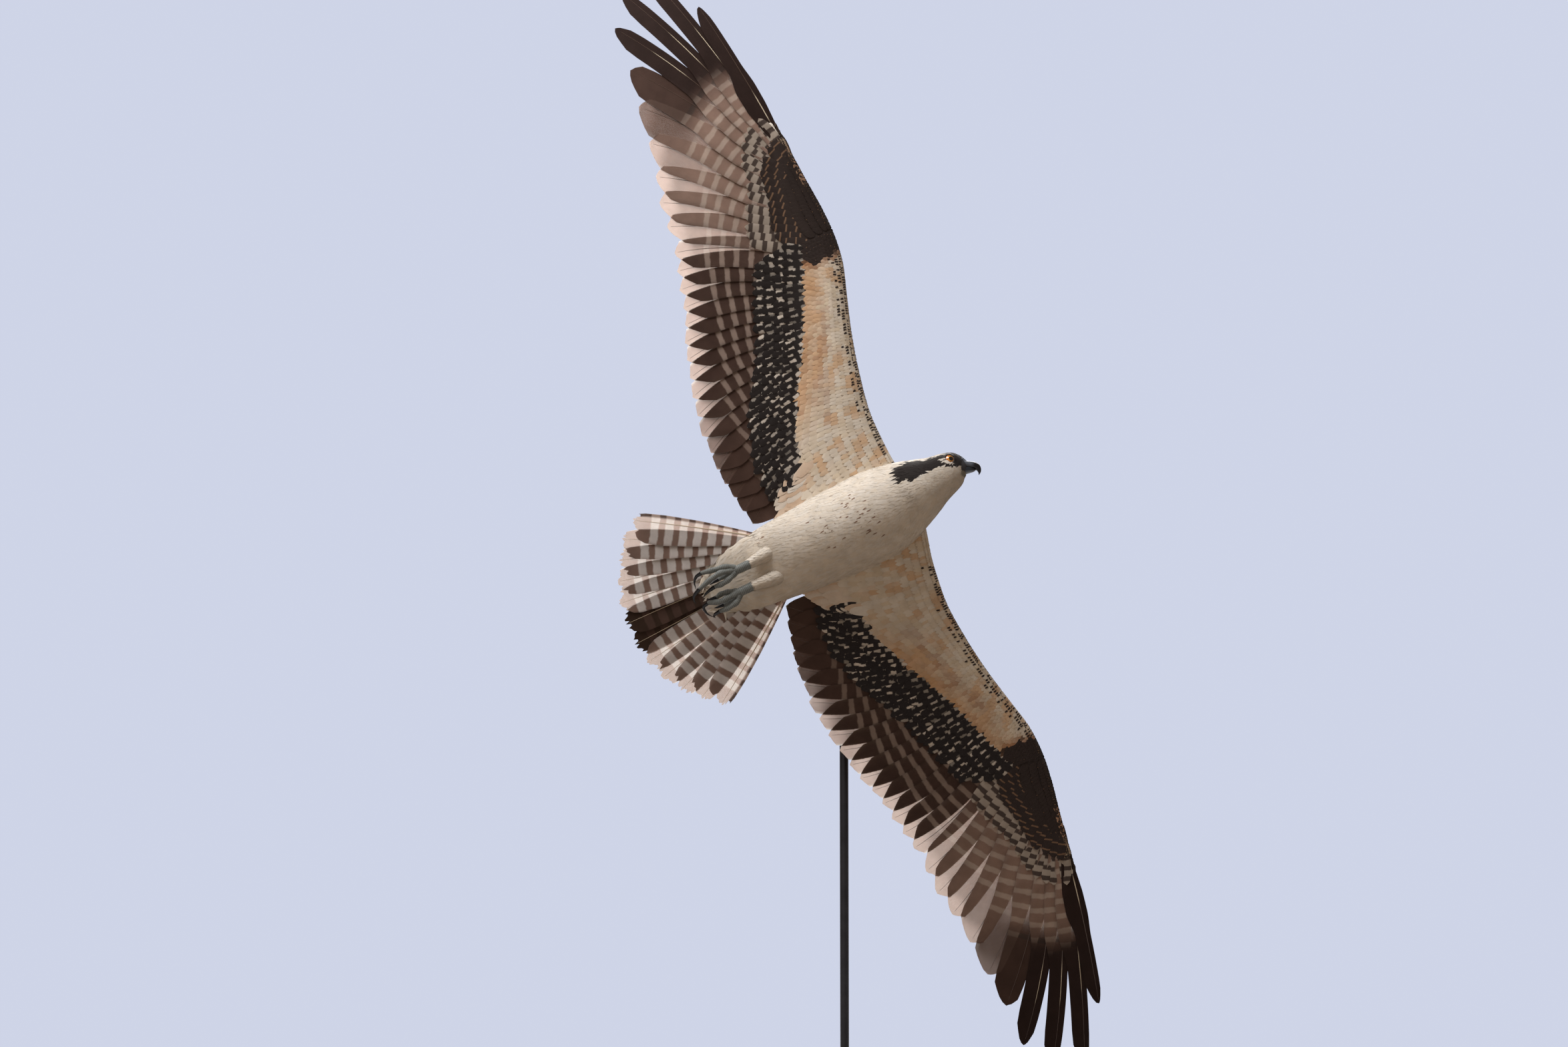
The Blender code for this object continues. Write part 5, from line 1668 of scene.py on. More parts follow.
@dataclass(frozen=True)
class Wing:
    """One wing, in its own plane: aside from the body, ahead, and height.

    Tables of two columns give a value by how far aside a place is. Tables of primaries begin
    at the wrist. The recesses and points of the vanes' edges are given at numbers of
    feathers, counted from the outermost.
    """

    side: Side
    turn: float = 4.1
    leading_edge: tuple = (
        (30, 104), (46, 101), (73, 96), (105, 93), (142, 91.5), (197, 98), (234, 105),
        (265, 112.5), (305, 124), (341, 133.6), (366, 136.5), (387, 137), (421, 134.5),
        (460, 129), (490, 125), (535, 119.5), (567, 115), (650, 104), (747, 86), (830, 66),
    )
    flesh_rear: tuple = (
        (30, -96), (60, -82), (110, -52), (180, -8), (275, 34), (372, 68), (450, 84),
        (530, 103), (567, 112),
    )
    flesh_depth: tuple = (
        (30, 40), (60, 36), (150, 27), (275, 21.5), (372, 18.5), (450, 14), (530, 9.5), (567, 5),
    )
    chord: tuple = (0, 0.03, 0.12, 0.3, 0.52, 0.78, 1.0)
    profile: tuple = (0, 0.42, 0.8, 1.0, 0.86, 0.55, 0.16)
    rise: tuple = (
        (0, 2), (50, 7), (150, 17), (260, 29), (375, 38), (480, 41), (600, 44), (720, 55), (830, 76),
    )
    camber_drop: float = 14 * MM
    camber_crest: float = 60 * MM
    camber_reach: float = 180 * MM
    camber_starts: float = 160 * MM
    primary_roots: tuple = (
        (392, 88), (412, 92), (432, 96), (450, 99), (467, 102), (482, 105), (496, 108),
        (509, 111), (521, 114), (532, 117),
    )
    primary_tips: tuple = (
        (479, -73), (513, -69), (550, -63), (596, -54), (645, -46), (699, -40), (762, -38),
        (803, -10), (819, 32), (747, 81),
    )
    primary_widths: tuple = (44, 47, 50, 53, 54, 51, 42, 38, 36, 30)
    finger_shares: tuple = (1, 1, 1, 1, 0.97, 0.86, 0.70, 0.68, 0.68, 0.72)
    outer_shares: tuple = (0.42, 0.38, 0.35, 0.33, 0.31, 0.31, 0.33, 0.32, 0.30, 0.28)
    secondary_count: int = 17
    secondary_roots: tuple = ((372, 84), (330, 66), (276, 46), (232, 28), (180, 12), (115, -6))
    secondary_root_at: tuple = (0, 3, 7, 10, 13, 16)
    secondary_tips: tuple = (
        (443, -78), (368, -95), (323, -109), (276, -121), (224, -131), (171, -134), (125, -131),
        (60, -117),
    )
    secondary_tip_at: tuple = (0, 3, 5, 7, 9, 11, 13, 16)
    secondary_width: float = 43
    secondary_share: float = 0.38
    vane_stations: tuple = (0, 0.12, 0.28, 0.46, 0.60, 0.78, 0.93, 1.0)
    vane_profile: tuple = (0.42, 0.68, 0.95, 1.0, 1.0, 1.0, 0.98, 0.90)
    edges_at: tuple = (0, 3, 4.5, 9, 10.5, 26)
    outer_recess: tuple = (22, 20, 9, 9, 10, 10)
    inner_recess: tuple = (28, 28, 26, 24, 23, 23)
    outer_point: tuple = (1.8, 1.8, 1.5, 1.1, 1.0, 1.0)
    inner_point: tuple = (1.8, 1.8, 1.6, 1.5, 1.5, 1.5)
    bars: tuple = (37 * MM, 21 * MM, 0.36)
    covert_depth: float = 1.35 * MM

    @property
    def reach(self) -> float:
        """How much longer or shorter this wing is than the tables."""
        return 0.986 if self.side is Side.LEFT else 1.014

    def middle(self, aside: Array, ahead: Array) -> Array:
        """Height of the middle surface: the wing's rise less a drop that grows as the square
        of the distance behind the crest."""
        behind = self.behind(aside, ahead) - self.camber_crest
        fade = np.clip(aside / self.camber_starts, 0.1, 1.0)
        return along(self.rise, aside) - self.camber_drop * fade * (behind / self.camber_reach) ** 2

    def behind(self, aside: Array, ahead: Array) -> Array:
        """How far places are behind the leading edge."""
        return along(self.leading_edge, aside) - ahead

    def half_depth(self, aside: Array, ahead: Array) -> Array:
        """Half the thickness of flesh and small coverts.

        The flesh follows its profile over the chord. Behind it the coverts keep a small
        depth, and at the leading edge both close.
        """
        behind = self.behind(aside, ahead)
        chord = along(self.leading_edge, aside) - along(self.flesh_rear, aside)
        share = np.clip(behind / np.maximum(chord, 8 * MM), 0, 1)
        flesh = along(self.flesh_depth, aside) / 2 * np.interp(share, self.chord, self.profile)
        close = np.sqrt(np.clip(behind / (5 * MM), 0, 1))
        return np.maximum(flesh, self.covert_depth * close)

    def to_world(self, points: Array) -> Array:
        """Points of the wing's plane, with their heights, in the world."""
        x, y = points[..., 1], self.side.value * points[..., 0] * self.reach
        cos, sin = math.cos(math.radians(self.turn)), math.sin(math.radians(self.turn))
        bird = axes(x * cos - y * sin, x * sin + y * cos, points[..., 2])
        return carry(bird, POSE.bird())

    def from_world(self, points: Array) -> Array:
        """World points as aside, ahead and height."""
        bird = carry(points, np.linalg.inv(POSE.bird()))
        cos, sin = math.cos(math.radians(self.turn)), math.sin(math.radians(self.turn))
        x = bird[..., 0] * cos + bird[..., 1] * sin
        y = -bird[..., 0] * sin + bird[..., 1] * cos
        return axes(self.side.value * y / self.reach, x, bird[..., 2])

    def ground(self, face: Face) -> FieldSurface:
        """What the coverts of one face lie on."""
        def height(aside: Array, ahead: Array) -> Array:
            """Height of this face over the wing's plane."""
            return self.middle(aside, ahead) + face.value * self.half_depth(aside, ahead)

        return FieldSurface(height, self.to_world, face, ((20 * MM, 0.84), (-150 * MM, 145 * MM)))

    def flights(self) -> Blades:
        """The primaries from the outermost, and then the secondaries."""
        order = np.arange(self.secondary_count)
        roots = smooth_curve(self.secondary_roots, self.secondary_root_at, order)
        tips = smooth_curve(self.secondary_tips, self.secondary_tip_at, order)
        roots = np.concatenate([self.primary_roots[::-1], roots]) * MM
        tips = np.concatenate([self.primary_tips[::-1], tips]) * MM
        tips = tips + unit(tips - roots) * draws(11).uniform(-2, 2, (len(tips), 1)) * MM
        s = vane_shares()
        profile = np.interp(s, self.vane_stations, self.vane_profile)
        width = np.concatenate([self.primary_widths[::-1], np.full(len(order), self.secondary_width)])
        share = np.concatenate([self.outer_shares[::-1], np.full(len(order), self.secondary_share)])
        finger = np.concatenate([self.finger_shares[::-1], np.ones(len(order))])
        narrow = 1 - (1 - finger[:, None]) * smooth_step(0.42, 0.62, s)[None]
        full = width[:, None] * profile[None] * narrow * MM
        number = np.arange(len(roots))
        bend = np.interp(number, (0, 3, 8, 12), (0.012, 0.04, 0.045, 0.075))
        outer = full * share[:, None]
        inner = full * (1 - share[:, None])
        return Blades(
            roots, tips, bend, outer, inner,
            outer_recess=np.interp(number, self.edges_at, self.outer_recess) * MM,
            inner_recess=np.interp(number, self.edges_at, self.inner_recess) * MM,
            outer_point=np.interp(number, self.edges_at, self.outer_point),
            inner_point=np.interp(number, self.edges_at, self.inner_point),
            level=np.zeros(len(roots)), height=self.middle, to_world=self.to_world)

    def flight_tones(self, grid: dict[str, Array]) -> dict[str, Array]:
        """Colours of the flight feathers.

        Below, the four outer fingers are dark past their bases, the rest are pale where a single vane
        shows, brown on its outer side, and the innermost ones are dark. The pale single-vane colours,
        pinker and brighter towards the tip, are painted light shining through the vane from behind, and
        the darker colours where the next feather lies behind are painted shade. Above, all are dark brown
        with a pale tip.
        """
        count = len(grid["share"])
        number = np.arange(count)[:, None, None]
        start = np.interp(number, (0, 1, 3, 5), (-0.3, 0.30, 0.38, 0.56))
        finger = smooth_step(6.5, 2.8, number) * smooth_step(start, start + 0.18, grid["share"])
        inmost = smooth_step(16, 24, number)
        outer = smooth_step(-0.06, 0.06, grid["across"])
        # Painted light: towards the tip the single-vane colours turn pinker, standing for light shining
        # through the thinner vane.
        backlit_margin = smooth_step(32 * MM, 10 * MM, grid["to_tip"])
        thin = blend(colour(156, 128, 115), Tones.BACKLIT_PINK * 1.06, backlit_margin)
        thin = blend(thin, blend(colour(146, 118, 106), Tones.BACKLIT_PINK, backlit_margin), outer)
        browner = smooth_step(8.5, 3.5, number) * smooth_step(0.25, 0.6, grid["share"])
        thin = blend(thin, colour(118, 92, 81), 0.8 * browner)
        thin = blend(thin, Tones.BLADE, 0.95 * inmost)
        # Painted light: the last few millimetres of the tip glow paler still.
        edge = smooth_step(3 * MM, 0, grid["to_tip"]) * 0.3
        thin = blend(thin, Tones.BACKLIT_PINK * 1.25, edge)
        thin = blend(thin, Tones.FINGER, finger)
        hand = smooth_step(10.5, 7.5, number)
        # Painted shade: where the next feather lies behind, the vane is darker than where one vane shows;
        # the hand's feathers are paler there.
        backed_in_painted_shade = blend(Tones.BLADE, colour(158, 131, 118), hand)
        backed_in_painted_shade = blend(backed_in_painted_shade, Tones.FINGER, finger)
        square = blend(Tones.SQUARE, Tones.BLADE, 0.6 * inmost)
        square = blend(square, colour(200, 178, 164), 0.85 * hand)
        square = blend(square, Tones.FINGER, finger)
        pale = blend(blend(thin, Tones.WHITE, 0.14 - 0.06 * hand), Tones.FINGER, finger)
        return both_faces(grid, (2.2 * MM, 0.8 * MM), ground=backed_in_painted_shade, mark=square, thin=thin,
                          thin_mark=pale)

    def quill_tones(self, s: Array) -> Array:
        """Colours of the shafts: pale in the fingers' bases, brown in the others."""
        number = np.arange(len(s))[:, None]
        middle = np.interp(number, (0, 1, 2, 3), (0.24, 0.56, 0.63, 0.70))
        pale = (number < 3.5) * smooth_step(0.11, 0.06, np.abs(s - middle))
        return blend(colour(84, 66, 56), Tones.QUILL, pale)

    def build_flights(self, finish: Finishes) -> Blades:
        """Makes vanes and shafts of the wing."""
        blades = self.flights()
        count = len(blades.roots)
        bars = np.tile(self.bars, (count, 1))
        bars[:, 0] += draws(12).uniform(-3, 3, count) * MM
        bars[:10, 0] += np.linspace(90, 8, 10) * MM
        self.wear(blades.build(f"flights_{self.side.label}", self.flight_tones, bars, finish))
        self.wear(blades.quills(f"quills_{self.side.label}", self.quill_tones, finish))
        return blades

    def wear(self, piece: Piece) -> None:
        """Makes a piece part of the wing, standing for its two solids."""
        nodes = (f"wing_{self.side.label}_{part}" for part in ("arm", "hand"))
        placed(piece, "wing_plumage", *nodes)

    def lie(self, blades: Blades, at: Array) -> Array:
        """Direction of the feathers at places of the plane.

        It is the mean of the flight feathers' own directions, each weighted by one over the
        square of its line's distance.

        Args:
            blades: The flight feathers.
            at: Places of the plane.

        Returns:
            The directions as turns from outwards to forwards.
        """
        run = unit(blades.tips - blades.roots)
        to = at[:, None] - blades.roots[None]
        ahead = (to * run).sum(-1)
        away = np.abs(to[..., 0] * run[:, 1] - to[..., 1] * run[:, 0]) + np.maximum(-ahead, 0) * 0.6
        weight = 1 / (away**2 + (6 * MM) ** 2)
        mean = (weight[..., None] * run[None]).sum(1)
        return np.arctan2(mean[:, 1], mean[:, 0])

    def row(self, blades: Blades, line: Sequence, count: int, length: float, width: float,
            seed: int, **values: object) -> Plumes:
        """One row of coverts whose tips stand along a line of the plane.

        Args:
            blades: The flight feathers that give the lie.
            line: Points of the line.
            count: How many feathers.
            length: Their length in metres.
            width: Their width in metres.
            seed: Number of the random series.
            values: Other values of the feathers.

        Returns:
            The row.
        """
        random = draws(seed)
        line = np.asarray(line, float) * MM
        at = np.concatenate([[0], np.cumsum(np.linalg.norm(np.diff(line, axis=0), axis=1))])
        place = (np.arange(count) + 0.5 + random.uniform(-0.12, 0.12, count)) / count * at[-1]
        tips = axes(*(np.interp(place, at, line[:, k]) for k in range(2)))
        turn = self.lie(blades, tips)
        length = np.full(count, length) * random.uniform(0.96, 1.04, count)
        away = axes(np.cos(turn), np.sin(turn))
        middle_turn = self.lie(blades, tips - away * length[:, None] / 2)
        away = axes(np.cos(middle_turn), np.sin(middle_turn))
        roots = tips - away * length[:, None]
        edge = along(self.leading_edge, roots[:, 0]) - 0.4 * MM
        over = np.maximum(roots[:, 1] - edge, 0)
        roots[:, 1] -= over
        length = np.maximum(length - over, 5 * MM)
        turn = middle_turn + random.normal(0, 0.03, count)
        return Plumes.make(roots[:, 0], roots[:, 1], length=length, width=width, turn=turn, **values)


@dataclass(frozen=True)
class Coverts:
    """Coverts on one face of a wing, in rows whose tips follow lines from rear to front."""

    wing: Wing
    blades: Blades

    def rows(self, rear: tuple, shares: Sequence[float], spread: float, lengths: tuple,
             widths: tuple, seed: int, **values: object) -> Plumes:
        """Rows of coverts between a line and the leading edge.

        Args:
            rear: Points of the line.
            shares: Where the rows lie, from 0 at the line to 1 at the leading edge.
            spread: Distance between neighbours over their width.
            lengths: Length at the line and at the leading edge, in millimetres.
            widths: Width at the line and at the leading edge, in millimetres.
            seed: Number of the first row's random series.
            values: Other values of the feathers.

        Returns:
            The rows.
        """
        rear, table = np.array(rear, float), np.array(self.wing.leading_edge, float)
        front = axes(rear[:, 0], np.interp(rear[:, 0], table[:, 0], table[:, 1]))
        rows = []
        for number, share in enumerate(shares):
            length, width = ((low + (high - low) * share) * MM for low, high in (lengths, widths))
            line = rear + (front - rear) * share
            run = np.linalg.norm(np.diff(line, axis=0), axis=1).sum() * MM
            rows.append(self.wing.row(self.blades, line, int(run / (width * spread)), length, width,
                                      seed + number, **values))
        return Plumes.joined(rows)

    def lay(self, name: str, face: Face, rows: Iterable[Plumes], vane: Vane,
            material: Material, seed: int, patch: float) -> None:
        """Lays rows on a face of the wing as one piece."""
        name = f"{name}_{self.wing.side.label}"
        ground, plumes = self.wing.ground(face), Plumes.joined(rows)
        self.wing.wear(lay_feathers(name, ground, plumes, vane, material, seed, patch))


@dataclass(frozen=True)
class UnderCoverts(Coverts):
    """Coverts below one wing."""

    greater: tuple = (
        (392, 18), (342, -4), (283, -26), (217, -57), (185, -74), (141, -86), (112, -89), (74, -84),
    )
    second: tuple = (
        (398, 50), (342, 27), (283, 5), (217, -26), (185, -42), (141, -58), (112, -64), (80, -62),
    )
    boundary: tuple = (
        (392, 82), (362, 69), (319, 54), (277, 36), (228, 14), (188, -7), (157, -27), (127, -46),
        (95, -48), (50, -40), (32, -36),
    )
    hand_greater: tuple = (
        (408, 20), (436, 25), (463, 36), (487, 48), (508, 53), (528, 55), (553, 66), (566, 84),
        (572, 104),
    )
    hand_second: tuple = ((400, 66), (424, 58), (469, 70), (502, 74), (526, 92), (538, 110))
    patch: tuple = (
        (392, 150), (362, 150), (356, 93), (374, 78), (424, 62), (469, 74), (502, 76), (526, 100),
        (518, 122), (470, 124), (452, 140),
    )
    rufous_line: tuple = ((300, 84), (281, 77), (231, 55), (182, 33), (150, 30))
    axillary_tips: tuple = ((40, -96), (52, -88), (68, -80), (82, -68), (94, -55))

    def tone(self, at: Array, seed: int) -> dict[str, Array]:
        """Values of the small coverts.

        Args:
            at: Places of the plane.
            seed: Number of the random series.

        Returns:
            Ground, mark, tip and edge rows.
        """
        random = draws(seed)
        count = len(at)
        grain = random.uniform(-1, 1, count)
        boundary = np.array(self.boundary[::-1], float) * MM
        ahead = at[:, 1] - np.interp(at[:, 0], boundary[:, 0], boundary[:, 1])
        behind = self.wing.behind(at[:, 0], at[:, 1])
        ground = blend(Tones.WHITE, Tones.CREAM, np.clip(0.45 + 0.3 * grain, 0, 1))
        outer = smooth_step(0.10, 0.20, at[:, 0])
        cloud = np.sin(at[:, 0] / (11 * MM) + 2 * np.sin(at[:, 1] / (17 * MM)) + seed)
        cloud = cloud * np.sin(at[:, 1] / (9 * MM) + 2 * np.sin(at[:, 0] / (23 * MM)))
        ground = blend(ground, Tones.BUFF, 0.62 * smooth_step(0.0, 0.9, cloud + 0.35 * grain))
        wash = smooth_step(58 * MM, 4 * MM, ahead + 10 * MM * grain) * outer
        ground = blend(ground, Tones.BUFF, 0.8 * wash)
        ground = blend(ground, Tones.RUFOUS, 0.5 * wash**2 * random.uniform(0, 1, count) ** 2)
        line = np.array(self.rufous_line[::-1], float) * MM
        near = np.abs(at[:, 1] - np.interp(at[:, 0], line[:, 0], line[:, 1]))
        inside = smooth_step(0.135, 0.16, at[:, 0]) * smooth_step(0.31, 0.29, at[:, 0])
        streak = inside * smooth_step(12 * MM, 1 * MM, near + 5 * MM * grain)
        ground = blend(ground, Tones.RUFOUS, 0.6 * streak * random.uniform(0.3, 1, count))
        patch = inside_by(at, self.patch) + 3.5 * MM * grain
        ground = blend(ground, Tones.RUFOUS, 0.7 * smooth_step(-8 * MM, -1 * MM, patch))
        ground = blend(ground, Tones.DARK, smooth_step(-1 * MM, 2 * MM, patch))
        hand = smooth_step(0.50, 0.53, at[:, 0])
        ground = blend(ground, colour(178, 160, 138), 0.7 * hand)
        rim = smooth_step(19 * MM, 11 * MM, behind) * smooth_step(0.05, 0.12, at[:, 0])
        dotted = 0.10 * smooth_step(16 * MM, 4 * MM, ahead) * outer
        spot = (random.uniform(0, 1, count) < 0.65 * rim + 0.35 * hand + dotted) & (patch < 0)
        mark = np.broadcast_to(Tones.DARK, ground.shape)
        edge = np.tile([0.6 * MM, 0.0, 0.0], (count, 1))
        edge[spot] = [0.0, 0.45, 5 * MM]
        pale = 0.08 + 0.5 * (random.uniform(0, 1, count) < 0.26)
        tip = blend(ground, Tones.BUFF, np.where(patch > 0, pale, 0.3))
        return {"ground": ground, "mark": mark, "tip": tip, "edge": edge}

    def small(self, rear: tuple, shares: Sequence[float], lengths: tuple, widths: tuple,
              seed: int) -> Plumes:
        """Rows of small coverts with their own colours; the arguments are those of rows."""
        plumes = self.rows(rear, shares, 0.55, lengths, widths, seed, low=-0.6 * MM, high=0.6 * MM,
                           ground=Tones.CREAM)
        away = axes(np.cos(plumes.turn), np.sin(plumes.turn))
        at = axes(plumes.u, plumes.v) + away * plumes.length[:, None] * 0.8
        for name, value in self.tone(at, seed + 50).items():
            setattr(plumes, name, value)
        return plumes

    def large(self, seed: int) -> list[Plumes]:
        """The four spotted rows of the arm; the spots differ from feather to feather."""
        rear, front = np.array(self.greater, float), np.array(self.second, float)
        sizes = ((0, 26, 82, 21, 0.4), (0.5, 28, 60, 19, 0.9), (1.0, 29, 50, 18, 1.4),
                 (1.45, 30, 42, 16, 1.9))
        plain = {"ground": Tones.BLACK, "mark": Tones.SPOT, "tip": Tones.SPOT,
                 "bars": (5 * MM, 16 * MM, 0.58), "edge": (1.0 * MM, 0, 0), "low": -0.6 * MM}
        rows = [
            self.wing.row(self.blades, rear + (front - rear) * share, count, length * MM,
                          width * MM, seed + 20 + count, high=high * MM, **plain)
            for share, count, length, width, high in sizes
        ]
        random = draws(seed + 6)
        for row in rows:
            row.bars[:, 0] += random.uniform(-3, 4, len(row.u)) * MM
            row.bars[:, 2] *= random.uniform(0.6, 1.1, len(row.u)) * smooth_step(0.07, 0.12, row.u)
            row.mark *= random.uniform(0.25, 1.2, (len(row.u), 1))
            row.tip *= random.uniform(0.05, 0.7, (len(row.u), 1))
        return rows

    def hand(self, seed: int) -> list[Plumes]:
        """Two barred rows of the hand, and two of the long feathers between arm and body."""
        rows = [
            self.wing.row(self.blades, self.hand_greater, 14, 66 * MM, 19 * MM, seed + 2,
                          low=-0.5 * MM, high=0.6 * MM, ground=colour(170, 158, 146),
                          mark=colour(74, 62, 56), tip=Tones.CREAM, edge=(0.8 * MM, 0, 0),
                          bars=(0.8 * MM, 15 * MM, 0.44)),
            self.wing.row(self.blades, self.hand_second, 14, 44 * MM, 16 * MM, seed + 3,
                          low=-0.5 * MM, high=1.6 * MM, ground=Tones.DARK,
                          mark=colour(128, 100, 78), tip=Tones.BUFF, edge=(0.7 * MM, 0, 0),
                          bars=(1.5 * MM, 14 * MM, 0.14)),
        ]
        for number, (shift, length) in enumerate(((0, 78), (20, 62))):
            line = np.array(self.axillary_tips, float) + [0.25 * shift, shift]
            row = self.wing.row(self.blades, line, 11, length * MM, 15 * MM, seed + 60 + number,
                                low=-2.4 * MM, high=(1.3 + 0.3 * number) * MM, ground=Tones.WHITE)
            warm = draws(seed + 70 + number).uniform(0, 0.6, len(row.u))
            row.ground = blend(row.ground, Tones.BUFF, warm)
            rows.append(row)
        return rows

    def build(self, finish: Finishes) -> None:
        """Makes the large coverts and the small ones."""
        seed = 100 + self.wing.side.value
        vane = Vane(stations=14, across=7, recess=0.14, ragged=0.05, tip_share=0.76, root_share=0.6,
                    crown=0.02, droop=0.03, thickness=0.25 * MM)
        large, hand = self.large(seed), self.hand(seed)
        self.lay("underwing_large", Face.UNDER, large, vane, finish.spotted, seed, 0.02)
        self.lay("underwing_hand", Face.UNDER, hand, vane, finish.covert, seed, 0.02)
        small = [
            self.small(self.boundary, np.linspace(0, 1, 13) ** 0.9, (32, 10), (14, 6), seed + 10),
            self.small(self.hand_second, (0.22, 0.45, 0.65, 0.82, 0.94, 1.0), (26, 9), (13, 7),
                       seed + 40),
        ]
        vane = Vane(stations=9, across=5, recess=0.20, tip_share=0.6, ragged=0.12, crown=0.0,
                    droop=0.03, thickness=0.18 * MM)
        self.lay("underwing_small", Face.UNDER, small, vane, finish.covert, seed + 5, 0.006)


@dataclass(frozen=True)
class UpperCoverts(Coverts):
    """Coverts above one wing, dark brown with pale tips."""

    greater: tuple = (
        (568, 100), (545, 66), (500, 45), (450, 30), (400, 18), (342, -2), (283, -22), (217, -50),
        (150, -72), (78, -78), (52, -66),
    )
    second: tuple = (
        (566, 110), (540, 90), (500, 74), (450, 62), (400, 52), (342, 30), (283, 8), (217, -20),
        (150, -42), (78, -52), (52, -44),
    )

    def build(self, finish: Finishes) -> None:
        """Makes the large coverts and the small ones."""
        seed = 300 + self.wing.side.value
        plain = {"ground": Tones.BROWN, "tip": Tones.FRINGE, "edge": (1.4 * MM, 0, 0)}
        large = [
            self.wing.row(self.blades, line, count, length * MM, width * MM, seed + number,
                          low=-0.5 * MM, high=high * MM, **plain)
            for number, (line, count, length, width, high) in enumerate((
                (self.greater, 28, 78, 27, 0.6), (self.second, 31, 50, 23, 1.6)))
        ]
        vane = Vane(stations=12, across=7, recess=0.18, ragged=0.03, tip_share=0.82, root_share=0.6)
        self.lay("upperwing_large", Face.UPPER, large, vane, finish.covert, seed, 0.02)
        shares = (0.16, 0.32, 0.46, 0.60, 0.72, 0.83, 0.92, 0.98, 1.0)
        small = self.rows(self.second, shares, 0.66, (38, 11), (17, 8), seed + 10,
                          low=-1.0 * MM, high=1.5 * MM, **plain)
        vane = Vane(stations=8, across=5, recess=0.24, ragged=0.08, root_share=0.5)
        self.lay("upperwing_small", Face.UPPER, [small], vane, finish.covert, seed + 5, 0.006)


@dataclass(frozen=True)
class TailFan:
    """The tail: two halves of a fan about a point inside the body, the middle pair on top."""

    count: int = 6
    apex: tuple = (-46, -7)
    half_spread: float = 33.5
    middle_length: float = 284
    outer_length: float = 254
    root: float = 84
    width: float = 42
    height: float = -5
    stations: tuple = (0, 0.22, 0.5, 0.78, 0.94, 1.0)
    profile: tuple = (0.40, 0.62, 0.86, 1.0, 0.97, 0.84)
    outer_shares: tuple = (0.50, 0.27)
    bars: tuple = (20 * MM, 20 * MM, 0.56)

    def half(self, side: Side) -> Blades:
        """One half of the fan, from its outermost feather inwards."""
        step = 2 * self.half_spread / (2 * self.count - 1)
        turns = np.radians(self.half_spread - step * np.arange(self.count))
        spread = (np.degrees(turns) / self.half_spread) ** 2
        length = self.middle_length + (self.outer_length - self.middle_length) * spread
        length = length + draws(13 + side.value).uniform(-2, 2, self.count)
        run = axes(np.sin(turns), -np.cos(turns))
        start = np.array([side.value * self.apex[1], self.apex[0]])
        full = self.width * np.interp(vane_shares(), self.stations, self.profile)[None] * MM
        share = (self.outer_shares[0] + (self.outer_shares[1] - self.outer_shares[0]) * spread)[:, None]
        level = np.zeros(self.count)
        level[-1] = (1.9 if side is Side.LEFT else 0.8) * MM

        def height(aside: Array, ahead: Array) -> Array:
            """Height of the level fan."""
            return np.full_like(aside, self.height * MM)

        def to_world(points: Array) -> Array:
            """Points of the fan's plane, with their heights, in the world."""
            bird = axes(points[..., 1], side.value * points[..., 0], points[..., 2])
            return carry(bird, POSE.bird())

        return Blades(
            (start + run * self.root) * MM, (start + run * length[:, None]) * MM,
            np.full(self.count, 0.008), full * share, full * (1 - share),
            outer_recess=np.full(self.count, 8 * MM), inner_recess=np.full(self.count, 9 * MM),
            outer_point=np.full(self.count, 1.4), inner_point=np.full(self.count, 1.4),
            level=level, height=height, to_world=to_world,
            ragged=7 * MM, across=17)

    def tones(self, grid: dict[str, Array]) -> dict[str, Array]:
        """Colours of the tail: pale bars, bright where a single vane shows, brown between. The lighter
        single-vane colours are painted light shining through one vane from behind.
        """
        number = np.arange(self.count)[:, None, None]
        middle = smooth_step(self.count - 1.6, self.count - 1.0, number)
        rim = smooth_step(0.45, 0.75, grid["across"]) * smooth_step(0.6, 0.2, number)
        dark = blend(colour(142, 117, 106), Tones.BROWN, middle)
        # Painted light: where a single vane shows, the brown is lighter, as light shines through it.
        single = blend(colour(168, 138, 126), Tones.BROWN, middle)
        single = blend(single, Tones.BLADE, 0.8 * rim)
        pale = blend(colour(244, 232, 226), Tones.BLADE, middle)
        bright = blend(colour(236, 214, 204), Tones.BLADE, middle)
        bright = blend(bright, Tones.TAN, 0.5 * rim)
        return both_faces(grid, (2.4 * MM, 1.0 * MM), ground=dark, mark=pale, thin=single,
                          thin_mark=bright)

    def quill_tones(self, s: Array) -> Array:
        """Pale buff shafts."""
        return np.broadcast_to(colour(216, 198, 172), (*s.shape, 3))

    def build(self, finish: Finishes) -> None:
        """Makes both halves with their shafts."""
        for side in Side:
            blades = self.half(side)
            bars = np.tile(self.bars, (self.count, 1))
            bars[:, 0] += draws(14 + side.value).uniform(-2.5, 2.5, self.count) * MM
            placed(blades.build(f"tail_{side.label}", self.tones, bars, finish), "tail_plumage", "tail")
            placed(blades.quills(f"tail_quills_{side.label}", self.quill_tones, finish, 1.25 * MM),
                   "tail_plumage", "tail")


